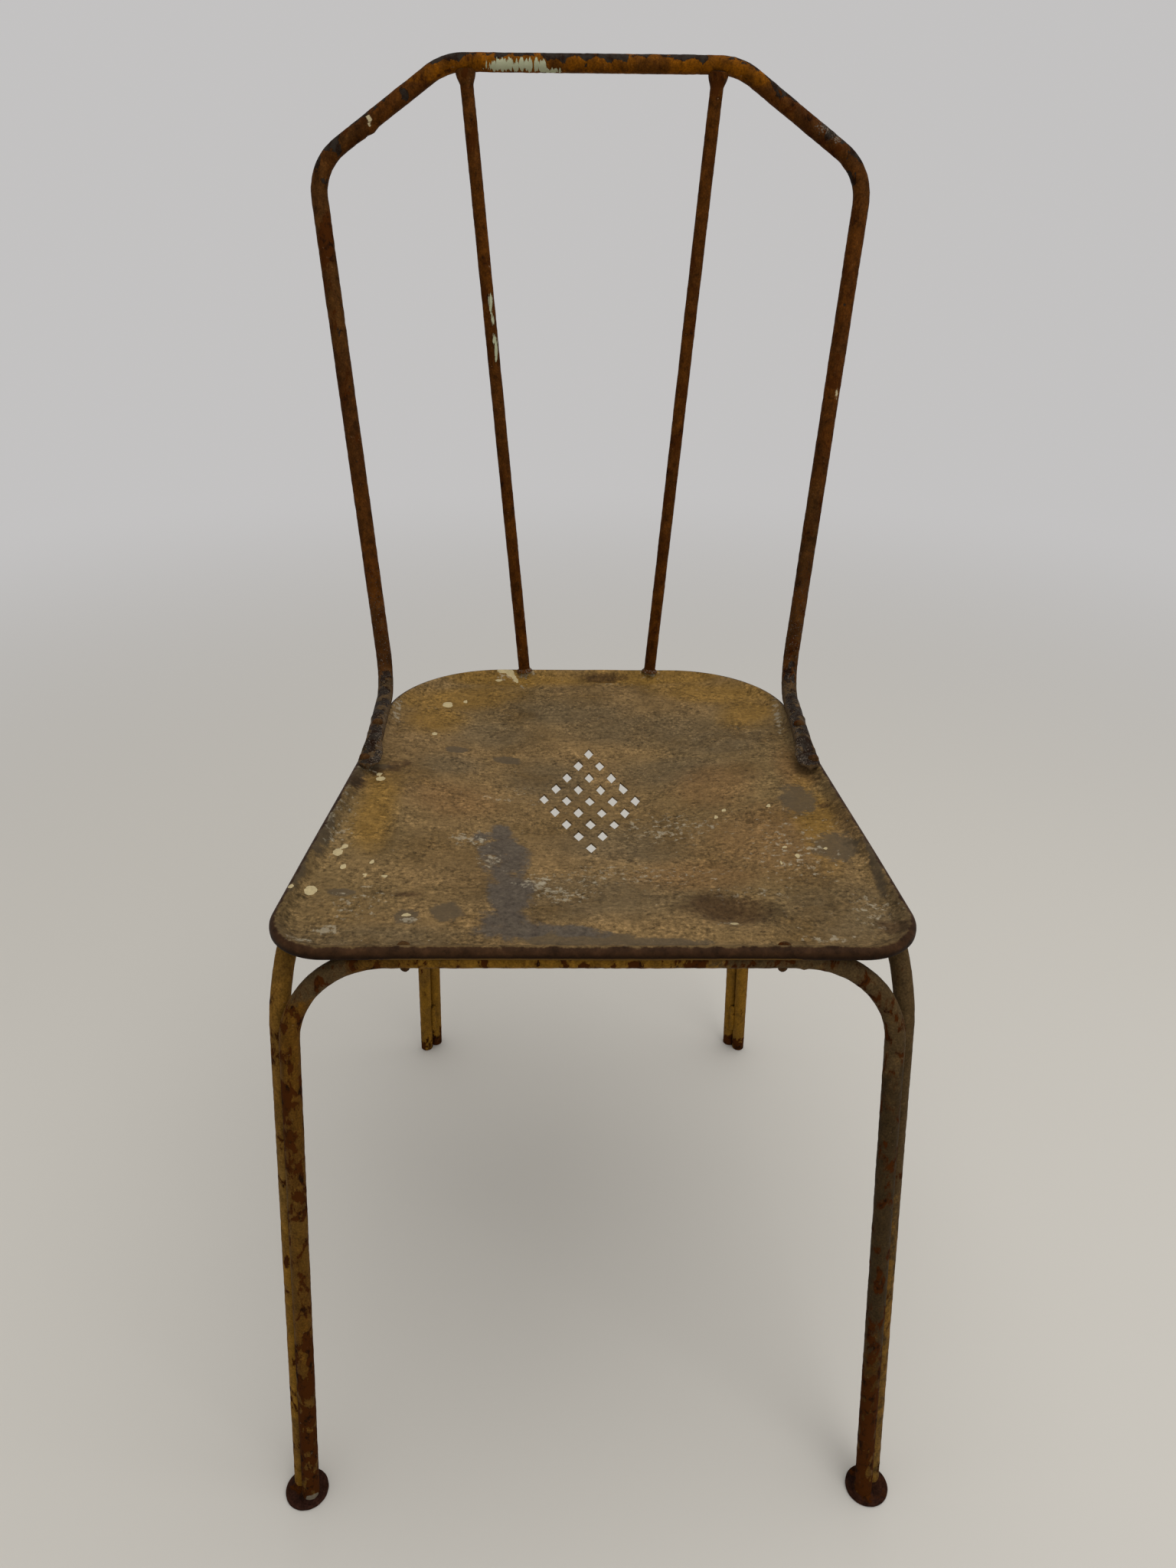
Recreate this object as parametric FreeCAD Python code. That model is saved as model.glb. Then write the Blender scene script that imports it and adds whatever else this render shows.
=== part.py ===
import FreeCAD, Part
import math
import os
from FreeCAD import Vector

# Old garden chair of bent steel tube with a pressed steel seat, in millimetres.
# +Z is up, the front of the chair faces -Y and the origin lies on the floor at the middle of the plan.

os.makedirs("parts", exist_ok=True)

# Stock that the chair is made of
tube_diameter = 12.0
tube_wall = 1.2
rod_diameter = 9.4
sheet_thickness = 1.5
seam_gap = 0.2
level_tolerance = 0.01

# Seat pan
seat_height = 455.0
seat_front_y = -214.5
seat_depth = 409.0
seat_front_width = 378.0
seat_side_taper = 35.5
seat_front_radius = 36.0
seat_rear_radius = 90.0
rim_height = 7.5
rim_radius = 4.0
slope_width = 8.0
field_depth = 5.5
dish_depth = 13.0
dish_front_spread = 70.0

# Section of the pressed sheet: how far in from the rim's crown, and how far down, as shares
slope_section = [(0.025, -0.08), (0.15, 0.16), (0.375, 0.65), (0.625, 0.93), (1.0, 1.0)]
dish_section = [(0.8, 0.12), (0.6, 0.38), (0.4, 0.68), (0.2, 0.92), (0.08, 1.0)]

# Pattern of lozenge holes in the seat
hole_rows = 5
hole_pitch_x = 8.1
hole_pitch_y = 17.4
hole_width = 8.0
hole_length = 15.8
hole_corner_radius = 0.7

# Leg hoops, each an upside-down U of bent tube
leg_bend_radius = 60.0
front_bar_inset = 11.5
front_corner_inset = 16.2
front_foot_spread = 23.3
front_foot_reach = 37.5
rear_bar_inset = 23.0
rear_corner_inset = 6.5
rear_foot_spread = 20.5
rear_foot_reach = 65.2
front_pair_turn = 53.0
rear_pair_turn = 136.0

# Foot discs under the front legs
disc_diameter = 30.0
disc_thickness = 3.0
disc_edge_radius = 1.0

# Back hoop and its two rods
back_height = 899.5
back_rake = 9.4
back_base_overhang = 4.9
back_base_forward = 53.0
shoulder_drop = 64.5
shoulder_spread = 33.8
top_corner_inset = 94.5
base_bend_radius = 35.0
shoulder_bend_radius = 38.0
top_bend_radius = 45.0
hoop_end_inset = 11.8
hoop_end_back = 13.0
pad_width = 16.0
pad_thickness = 4.5
pad_length = 20.0
pad_taper = 14.0
pad_nose_radius = 9.6
rod_foot_x = 53.5
rod_foot_inset = 6.0
rod_top_inset = 13.5

# Rivets and weld beads
rivet_shank_diameter = 4.0
rivet_head_diameter = 7.0
rivet_head_height = 2.2
rivet_tail_diameter = 6.0
rivet_tail_height = 1.8
rivet_hole_clearance = 0.1
rivet_bite = 0.8
front_rivet_inset = 66.3
side_rivet_forward = 25.0
pad_rivet_inset = 10.0
hoop_rivet_pitch = 44.0
bead_radius = 3.0
bead_depth_share = 0.85
leg_bead_length = 30.0
upper_bead_drop = 110.0
lower_bead_height = 30.0
rod_bead_radius = 7.1
foot_bead_width = 2.0
foot_bead_height = 2.4

# Sizes that follow from the ones above
tube_radius = tube_diameter / 2
seat_rear_y = seat_front_y + seat_depth
seat_middle_y = seat_front_y + seat_depth / 2
seat_rear_width = seat_front_width - 2 * seat_side_taper
field_height = seat_height - field_depth
bar_height = field_height - sheet_thickness - seam_gap - tube_radius
front_bar_y = seat_front_y + front_bar_inset
rear_bar_y = seat_rear_y - rear_bar_inset
front_corner_x = seat_front_width / 2 - front_corner_inset
rear_corner_x = seat_rear_width / 2 - rear_corner_inset
disc_top = disc_thickness + seam_gap
hoop_axis_height = seat_height + seam_gap + tube_radius
hoop_end_y = seat_middle_y + hoop_end_back
back_base_y = seat_rear_y - back_base_forward
shoulder_height = back_height - shoulder_drop
whole_room = 2 * back_height


def corner_arc(before, corner, after, radius):
    """Tangent points and the arc that rounds one corner of a path."""
    to_before = (before - corner).normalize()
    to_after = (after - corner).normalize()
    half_angle = to_before.getAngle(to_after) / 2
    reach = radius / math.tan(half_angle)
    bisector = (to_before + to_after).normalize()
    centre = corner + bisector * (radius / math.sin(half_angle))
    start = corner + to_before * reach
    end = corner + to_after * reach
    arc = Part.Arc(start, centre - bisector * radius, end).toShape()
    return start, arc, end


def bent_path(points, radii):
    """Open wire of straight runs with a tangent arc at each inner point."""
    edges = []
    run_start = points[0]
    for before, corner, after, radius in zip(points, points[1:], points[2:], radii):
        arc_start, arc, arc_end = corner_arc(before, corner, after, radius)
        edges.append(Part.makeLine(run_start, arc_start))
        edges.append(arc)
        run_start = arc_end
    edges.append(Part.makeLine(run_start, points[-1]))
    return Part.Wire(edges)


def rounded_outline(points, radii):
    """Closed wire through the points with every corner rounded."""
    count = len(points)
    arcs = []
    for index in range(count):
        before = points[index - 1]
        after = points[(index + 1) % count]
        arcs.append(corner_arc(before, points[index], after, radii[index]))
    edges = []
    for index in range(count):
        start, arc, end = arcs[index]
        next_start = arcs[(index + 1) % count][0]
        edges.append(arc)
        edges.append(Part.makeLine(end, next_start))
    return Part.Wire(edges)


def swept_round(path, diameter):
    """Solid round bar along a path."""
    first_edge = path.OrderedEdges[0]
    start = first_edge.valueAt(first_edge.FirstParameter)
    direction = first_edge.tangentAt(first_edge.FirstParameter)
    circle = Part.Wire(Part.makeCircle(diameter / 2, start, direction))
    return path.makePipeShell([circle], True, False)


def bent_tube(points, radii):
    """Hollow tube along a bent path."""
    path = bent_path(points, radii)
    outside = swept_round(path, tube_diameter)
    inside = swept_round(path, tube_diameter - 2 * tube_wall)
    return outside.cut(inside)


def mirrored(shape):
    """The same piece on the other side of the chair."""
    return shape.mirror(Vector(0, 0, 0), Vector(1, 0, 0))


def both_sides(shape):
    """The piece and its mirror image as separate solids."""
    return Part.makeCompound([shape, mirrored(shape)])


def largest(shape):
    """The main solid of a cut piece."""
    return max(shape.Solids, key=lambda solid: solid.Volume)


def cut_away(shape, neighbours):
    """The piece with the room of its neighbours taken out, so that it lies against them."""
    for neighbour in neighbours:
        shape = shape.cut(neighbour)
    return largest(shape)


def above(height):
    """A block that fills the space above a level plane."""
    corner = Vector(-whole_room / 2, -whole_room / 2, height)
    return Part.makeBox(whole_room, whole_room, whole_room, corner)


def save(name, shape):
    """Write one piece to its own file."""
    shape.exportStep("parts/" + name + ".step")
    solids = shape.Solids
    volume = sum(solid.Volume for solid in solids) / 1000
    print(name, len(solids), "solid", round(volume, 2), "cm3", "valid", shape.isValid())


# Seat pan


def seat_side_x(y):
    """Distance of the seat's side from the middle of the chair."""
    return seat_front_width / 2 - seat_side_taper * (y - seat_front_y) / seat_depth


def pan_outline(inset, height):
    """Outline of the seat, moved inwards by the inset."""
    slope = seat_side_taper / seat_depth
    side_shift = inset * math.sqrt(1 + slope * slope)
    front_half = seat_front_width / 2 - side_shift - slope * inset
    rear_half = seat_front_width / 2 - side_shift - slope * (seat_depth - inset)
    front_y = seat_front_y + inset
    rear_y = seat_rear_y - inset
    points = [
        Vector(front_half, front_y, height),
        Vector(rear_half, rear_y, height),
        Vector(-rear_half, rear_y, height),
        Vector(-front_half, front_y, height),
    ]
    front_radius = seat_front_radius - inset
    rear_radius = seat_rear_radius - inset
    return rounded_outline(points, [front_radius, rear_radius, rear_radius, front_radius])


def dish_ring(share, height):
    """One contour of the dished field, a share of the outline inside the rim."""
    front_half = seat_front_width / 2 * share
    rear_half = seat_rear_width / 2 * share
    half_depth = seat_depth / 2 * share
    points = [
        Vector(front_half, seat_middle_y - half_depth, height),
        Vector(rear_half, seat_middle_y + half_depth, height),
        Vector(-rear_half, seat_middle_y + half_depth, height),
        Vector(-front_half, seat_middle_y - half_depth, height),
    ]
    largest_radius = 0.8 * rear_half
    front_radius = min(seat_front_radius + dish_front_spread * (1 - share), largest_radius)
    rear_radius = min(seat_rear_radius, largest_radius)
    return rounded_outline(points, [front_radius, rear_radius, rear_radius, front_radius])


def pan_hollow(drop):
    """The space above the pressed sheet: a steep fall inside the rim, then a shallow dish."""
    top = seat_height - drop
    floor = top - field_depth
    rim_rings = []
    for share, fall in slope_section:
        rim_rings.append(pan_outline(rim_radius + share * slope_width, top - fall * field_depth))
    rim = Part.makeLoft(rim_rings, True, False)
    dish_rings = [pan_outline(rim_radius + slope_width, floor)]
    for share, fall in dish_section:
        dish_rings.append(dish_ring(share, floor - fall * dish_depth))
    dish = Part.makeLoft(dish_rings, True, False)
    return rim.fuse(dish)


def rim_block(inset, bottom, top, radius):
    """Plate over the whole outline with its upper edge rounded."""
    face = Part.Face(pan_outline(inset, bottom))
    block = face.extrude(Vector(0, 0, top - bottom))
    upper_edges = [edge for edge in block.Edges if edge.BoundBox.ZMin > top - level_tolerance]
    return block.makeFillet(radius, upper_edges)


def lozenge_holes():
    """Prisms that punch the lozenge pattern through the sheet."""
    prisms = []
    middle = (hole_rows - 1) / 2
    bottom = field_height - dish_depth - 2 * sheet_thickness
    for row in range(hole_rows):
        for column in range(hole_rows):
            x = (column - row) * hole_pitch_x
            y = seat_middle_y + (column + row - 2 * middle) * hole_pitch_y
            corners = [
                Vector(x, y - hole_length / 2, bottom),
                Vector(x + hole_width / 2, y, bottom),
                Vector(x, y + hole_length / 2, bottom),
                Vector(x - hole_width / 2, y, bottom),
            ]
            face = Part.Face(rounded_outline(corners, [hole_corner_radius] * 4))
            prisms.append(face.extrude(Vector(0, 0, seat_height - bottom)))
    return Part.makeCompound(prisms)


def side_bar_x(y):
    """Distance of a side bar from the middle of the chair at a place along it."""
    front = side_front_corner
    rear = side_rear_corner
    return front.x + (rear.x - front.x) * (y - front.y) / (rear.y - front.y)


def rivet_hole(x, y):
    """Drilling through seat, tube and whatever lies on the seat."""
    radius = rivet_shank_diameter / 2 + rivet_hole_clearance
    bottom = bar_height - tube_diameter
    top = hoop_axis_height + tube_diameter
    return Part.makeCylinder(radius, top - bottom, Vector(x, y, bottom))


def make_seat_pan():
    bottom = seat_height - rim_height
    outside = rim_block(0, bottom, seat_height, rim_radius)
    inner_top = seat_height - sheet_thickness
    inside = rim_block(sheet_thickness, bottom, inner_top, rim_radius - sheet_thickness)
    pan = outside.cut(inside)
    pan = pan.fuse(pan_hollow(sheet_thickness))
    pan = pan.cut(pan_hollow(0))
    pan = pan.cut(lozenge_holes())
    return pan.cut(rivet_holes)


# Leg hoops


def pair_offset(direction, turn):
    """Level step from one leg tube to its neighbour, so that the two just touch."""
    angle = math.radians(turn)
    step = Vector(math.cos(angle), math.sin(angle), 0)
    unit = Vector(direction).normalize()
    width = step.cross(unit).Length
    return step * ((tube_diameter + seam_gap) / width)


front_corner = Vector(front_corner_x, front_bar_y, bar_height)
front_foot = Vector(front_corner_x + front_foot_spread, front_bar_y - front_foot_reach, 0)
front_lean = front_foot - front_corner
front_step = pair_offset(front_lean, front_pair_turn)
side_front_corner = front_corner + front_step
side_front_foot = front_foot + front_step

side_rear_corner = Vector(rear_corner_x, rear_bar_y, bar_height)
side_rear_foot = Vector(rear_corner_x + rear_foot_spread, rear_bar_y + rear_foot_reach, 0)
rear_lean = side_rear_foot - side_rear_corner
rear_step = pair_offset(rear_lean, rear_pair_turn)
rear_corner = side_rear_corner + rear_step
rear_foot = side_rear_foot + rear_step


def past(foot, corner):
    """A point on the leg's line below the floor, so that the leg can be cut level."""
    return foot + (foot - corner) * 0.05


def cross_hoop(corner, foot, foot_level):
    """Hoop across the chair, with a leg on each side."""
    left_corner = Vector(-corner.x, corner.y, corner.z)
    end = past(foot, corner)
    left_end = Vector(-end.x, end.y, end.z)
    hoop = bent_tube([end, corner, left_corner, left_end], [leg_bend_radius] * 2)
    return hoop.common(above(foot_level)).cut(rivet_holes)


def side_hoop():
    """Hoop along the right side, from the front foot to the rear foot."""
    front_end = past(side_front_foot, side_front_corner)
    rear_end = past(side_rear_foot, side_rear_corner)
    points = [front_end, side_front_corner, side_rear_corner, rear_end]
    hoop = bent_tube(points, [leg_bend_radius] * 2)
    corner = Vector(-whole_room / 2, -whole_room, disc_top - whole_room)
    front_step = Part.makeBox(whole_room, whole_room, whole_room, corner)
    return hoop.common(above(0)).cut(front_step).cut(rivet_holes)


def leg_beads(lower_end, direction, step, tubes):
    """Weld beads in the inner groove of a leg pair, near the seat and near the floor."""
    axis = Vector(direction).normalize() * -1
    across = step.cross(axis).normalize()
    if across.x > 0:
        across = across * -1
    groove = lower_end + step * 0.5 + across * (tube_radius * bead_depth_share)
    beads = []
    for height in (seat_height - upper_bead_drop, lower_bead_height):
        start = groove + axis * (height / axis.z)
        finish = start + axis * leg_bead_length
        bead = Part.makeCylinder(bead_radius, leg_bead_length, start, axis)
        bead = bead.fuse(Part.makeSphere(bead_radius, start))
        bead = bead.fuse(Part.makeSphere(bead_radius, finish))
        beads.append(cut_away(bead, tubes))
    return Part.makeCompound(beads)


# Feet


def disc_centre():
    return (front_foot + side_front_foot) * 0.5


def make_foot_disc():
    centre = disc_centre()
    disc = Part.makeCylinder(disc_diameter / 2, disc_thickness, Vector(centre.x, centre.y, 0))
    upper = [edge for edge in disc.Edges if edge.BoundBox.ZMin > disc_thickness - level_tolerance]
    return disc.makeFillet(disc_edge_radius, upper)


def make_foot_weld(tubes):
    """Fillet of weld metal around both leg ends on the disc."""
    cones = []
    cores = []
    for foot, corner in ((front_foot, front_corner), (side_front_foot, side_front_corner)):
        axis = (corner - foot).normalize()
        base = foot + axis * (disc_top / axis.z)
        base_radius = tube_radius + foot_bead_width
        cones.append(Part.makeCone(base_radius, tube_radius, foot_bead_height, base))
        cores.append(Part.makeCylinder(tube_radius - tube_wall / 2, 2 * foot_bead_height, base))
    weld = cones[0].fuse(cones[1])
    return cut_away(weld, tubes + cores)


# Back hoop and rods


def back_y(height):
    """Depth of the back's plane at a height."""
    return back_base_y + (height - hoop_axis_height) * math.tan(math.radians(back_rake))


hoop_end_x = seat_side_x(hoop_end_y) - hoop_end_inset
back_base_x = seat_side_x(back_base_y) + back_base_overhang
shoulder_x = back_base_x + shoulder_spread
top_corner_x = shoulder_x - top_corner_inset


def hoop_path():
    """Line of the back hoop's tube, from one flattened end to the other."""
    right = [
        Vector(hoop_end_x, hoop_end_y + pad_length + pad_taper, hoop_axis_height),
        Vector(back_base_x, back_base_y, hoop_axis_height),
        Vector(shoulder_x, back_y(shoulder_height), shoulder_height),
        Vector(top_corner_x, back_y(back_height), back_height),
    ]
    left = [Vector(-point.x, point.y, point.z) for point in reversed(right)]
    bends = [base_bend_radius, shoulder_bend_radius, top_bend_radius]
    return bent_path(right + left, bends + bends[::-1])


def hoop_pad(path):
    """Flattened end of the back hoop that lies on the seat, with a rounded nose."""
    first_edge = path.OrderedEdges[0]
    tube_end = first_edge.valueAt(first_edge.FirstParameter)
    direction = first_edge.tangentAt(first_edge.FirstParameter)
    ring = Part.Wire(Part.makeCircle(tube_radius, tube_end, direction))
    flat_start = Vector(hoop_end_x, hoop_end_y + pad_length, seat_height + seam_gap + pad_thickness / 2)
    oval = Part.Ellipse(Vector(0, 0, 0), pad_width / 2, pad_thickness / 2)
    flat = Part.Wire(oval.toShape())
    flat.rotate(Vector(0, 0, 0), Vector(1, 0, 0), 90)
    flat.translate(flat_start)
    taper = Part.makeLoft([ring, flat], True, False)
    slab = Part.Face(flat).extrude(Vector(0, -pad_length, 0))
    nose_y = hoop_end_y + pad_nose_radius
    nose_base = Vector(hoop_end_x, nose_y, seat_height)
    nose = Part.makeCylinder(pad_nose_radius, 2 * pad_thickness, nose_base)
    rest_corner = Vector(hoop_end_x - pad_width, nose_y, seat_height)
    rest = Part.makeBox(2 * pad_width, pad_length, 2 * pad_thickness, rest_corner)
    return taper.fuse(slab.common(nose.fuse(rest)))


def make_back_hoop():
    path = hoop_path()
    pad = hoop_pad(path)
    outside = swept_round(path, tube_diameter).fuse(pad).fuse(mirrored(pad))
    inside = swept_round(path, tube_diameter - 2 * tube_wall)
    return outside.cut(inside).cut(rivet_holes)


rod_foot = Vector(rod_foot_x, seat_rear_y - rod_foot_inset, seat_height + seam_gap)
rod_top = Vector(top_corner_x - rod_top_inset, back_y(back_height), back_height)


def make_back_rod():
    """Rod from the rear rim of the seat up to a saddle under the top rail."""
    rod_length = (rod_top - rod_foot).Length
    axis = (rod_top - rod_foot).normalize()
    start = rod_foot - axis * rod_diameter
    rod = Part.makeCylinder(rod_diameter / 2, rod_length + rod_diameter, start, axis)
    saddle = swept_round(hoop_path(), tube_diameter + 2 * seam_gap)
    return largest(rod.common(above(rod_foot.z)).cut(saddle))


def make_rod_top_bead(rod, hoop):
    """Collar of weld metal where a rod meets the top rail."""
    down = (rod_foot - rod_top).normalize()
    ball = Part.makeSphere(rod_bead_radius, rod_top + down * tube_radius)
    core = swept_round(hoop_path(), tube_diameter - tube_wall)
    return cut_away(ball, [core, hoop, rod])


def make_rod_foot_bead(rod):
    """Fillet of weld metal around a rod on the rim of the seat."""
    radius = rod_diameter / 2
    cone = Part.makeCone(radius + foot_bead_width, radius, foot_bead_height, rod_foot)
    return cut_away(cone, [rod])


# Rivets


def domed_end(radius, height, place, up):
    """Low dome, the cap of a sphere, on a flat base."""
    sphere_radius = (radius * radius + height * height) / (2 * height)
    centre = place + Vector(0, 0, up) * (height - sphere_radius)
    ball = Part.makeSphere(sphere_radius, centre)
    slab_bottom = place.z if up > 0 else place.z - height
    slab_corner = Vector(place.x - 2 * radius, place.y - 2 * radius, slab_bottom)
    slab = Part.makeBox(4 * radius, 4 * radius, height, slab_corner)
    return ball.common(slab)


def make_rivet(place, head_level, neighbours):
    """Round-headed rivet through the seat and the bar below it, closed down on both."""
    tail_level = bar_height - tube_radius + rivet_bite
    head_base = Vector(place.x, place.y, head_level - rivet_bite)
    tail_base = Vector(place.x, place.y, tail_level)
    head = domed_end(rivet_head_diameter / 2, rivet_head_height, head_base, 1)
    tail = domed_end(rivet_tail_diameter / 2, rivet_tail_height, tail_base, -1)
    shank = Part.makeCylinder(rivet_shank_diameter / 2, head_base.z - tail_level, tail_base)
    return cut_away(shank.fuse(head).fuse(tail), neighbours)


side_rivet_y = seat_middle_y - side_rivet_forward
pad_rivet_y = hoop_end_y + pad_rivet_inset
front_rivet_place = Vector(front_corner_x - front_rivet_inset, front_bar_y, 0)
side_rivet_place = Vector(side_bar_x(side_rivet_y), side_rivet_y, 0)
pad_rivet_place = Vector(side_bar_x(pad_rivet_y), pad_rivet_y, 0)
tube_rivet_place = Vector(hoop_end_x, pad_rivet_y + hoop_rivet_pitch, 0)
rivet_places = [front_rivet_place, side_rivet_place, pad_rivet_place, tube_rivet_place]
rivet_holes = both_sides(Part.makeCompound([rivet_hole(place.x, place.y) for place in rivet_places]))

seat_pan = make_seat_pan()
front_leg_hoop = cross_hoop(front_corner, front_foot, disc_top)
rear_leg_hoop = cross_hoop(rear_corner, rear_foot, 0)
right_leg_hoop = side_hoop()
back_hoop = make_back_hoop()
right_back_rod = make_back_rod()
right_foot_disc = make_foot_disc()
front_pair = [front_leg_hoop, right_leg_hoop]
rear_pair = [rear_leg_hoop, right_leg_hoop]
right_front_beads = leg_beads(front_foot, front_lean, front_step, front_pair)
right_rear_beads = leg_beads(side_rear_foot, rear_lean, rear_step, rear_pair)
right_foot_weld = make_foot_weld(front_pair)
rod_top_bead = make_rod_top_bead(right_back_rod, back_hoop)
rod_foot_bead = make_rod_foot_bead(right_back_rod)

pad_top = seat_height + seam_gap + pad_thickness
tube_top = hoop_axis_height + tube_radius
side_pieces = [seat_pan, right_leg_hoop, back_hoop]
front_rivet = make_rivet(front_rivet_place, field_height, [seat_pan, front_leg_hoop])
side_rivet = make_rivet(side_rivet_place, field_height, side_pieces)
pad_rivet = make_rivet(pad_rivet_place, pad_top, side_pieces)
tube_rivet = make_rivet(tube_rivet_place, tube_top, side_pieces)

save("seat_pan", seat_pan)
save("front_leg_hoop", front_leg_hoop)
save("rear_leg_hoop", rear_leg_hoop)
save("right_leg_hoop", right_leg_hoop)
save("left_leg_hoop", mirrored(right_leg_hoop))
save("back_hoop", back_hoop)
save("right_back_rod", right_back_rod)
save("left_back_rod", mirrored(right_back_rod))
save("right_foot_disc", right_foot_disc)
save("left_foot_disc", mirrored(right_foot_disc))
save("right_foot_weld", right_foot_weld)
save("left_foot_weld", mirrored(right_foot_weld))
save("right_front_leg_welds", right_front_beads)
save("left_front_leg_welds", mirrored(right_front_beads))
save("right_rear_leg_welds", right_rear_beads)
save("left_rear_leg_welds", mirrored(right_rear_beads))
save("rod_top_welds", both_sides(rod_top_bead))
save("rod_foot_welds", both_sides(rod_foot_bead))
save("front_rivets", both_sides(front_rivet))
save("side_rivets", both_sides(side_rivet))
save("back_hoop_rivets", both_sides(Part.makeCompound([pad_rivet, tube_rivet])))
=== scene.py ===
# %% [markdown]
# # Dressing an old garden chair
# The chair is bent steel tube with a pressed seat, painted many times and left outside for decades.
# Its solids come packed as a fixed frame. This notebook lays worn sheet, lumpy tubes, welds, rivets
# and flaking paint over that frame.

# %% Load the frame
import bisect
import math
import random

import bmesh
import bpy
from bmesh.types import BMEdge, BMFace, BMVert
from mathutils import Matrix, Vector, noise


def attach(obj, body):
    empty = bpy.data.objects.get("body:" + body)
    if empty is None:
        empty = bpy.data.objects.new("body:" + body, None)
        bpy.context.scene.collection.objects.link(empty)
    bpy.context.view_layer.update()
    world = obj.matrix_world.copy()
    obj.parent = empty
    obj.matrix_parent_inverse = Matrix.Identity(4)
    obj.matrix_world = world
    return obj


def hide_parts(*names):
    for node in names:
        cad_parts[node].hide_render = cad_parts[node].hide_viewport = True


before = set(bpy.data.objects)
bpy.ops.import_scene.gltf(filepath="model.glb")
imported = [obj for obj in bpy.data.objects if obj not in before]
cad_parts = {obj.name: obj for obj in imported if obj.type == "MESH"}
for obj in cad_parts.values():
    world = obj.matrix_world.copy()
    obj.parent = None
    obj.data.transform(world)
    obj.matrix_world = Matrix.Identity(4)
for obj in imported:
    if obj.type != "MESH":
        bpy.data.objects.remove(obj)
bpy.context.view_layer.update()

MM = 0.001

# %% [markdown]
# ## The camera
# The photograph was taken with a phone held half a metre in front of the seat and above it, tipped
# down by about 28 degrees. Its place and turns were found from the chair's own edges.

# %% Camera
CAMERA_PLACE = Vector((-13.3, -728.0, 828.5)) * MM
PITCH, YAW, ROLL = (math.radians(angle) for angle in (27.78, 0.95, -0.6))
LENS_MM = 26.38


def new_object(name, data):
    thing = bpy.data.objects.new(name, data)
    bpy.context.scene.collection.objects.link(thing)
    return thing


def make_camera():
    camera = new_object("camera", bpy.data.cameras.new("camera"))
    camera.data.lens = LENS_MM
    camera.matrix_world = (Matrix.Translation(CAMERA_PLACE) @ Matrix.Rotation(-YAW, 4, "Z")
                           @ Matrix.Rotation(math.pi / 2 - PITCH, 4, "X") @ Matrix.Rotation(-ROLL, 4, "Z"))
    bpy.context.scene.camera = camera
    return camera


print("camera at", [round(v, 3) for v in make_camera().location])

# %% [markdown]
# ## Words for shader nodes
# A finish is a chain of small node steps: some noise, a threshold, a blend of two colours. One short
# call for each step keeps a long finish readable. Places are read from Object coordinates, so a
# pattern stays on its piece from any side.

# %% One node
def put(tree, value, socket):
    """A number or colour is set on the socket, an output is linked to it."""
    if isinstance(value, bpy.types.NodeSocket):
        tree.links.new(value, socket)
    elif socket.type == "RGBA":
        socket.default_value = (*value, 1)
    else:
        socket.default_value = value


def add_node(tree, kind, output, inputs, **settings):
    node = tree.nodes.new("ShaderNode" + kind)
    for name, value in settings.items():
        setattr(node, name, value)
    for name, value in inputs.items():
        put(tree, value, node.inputs[name])
    return node.outputs[output]


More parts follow.
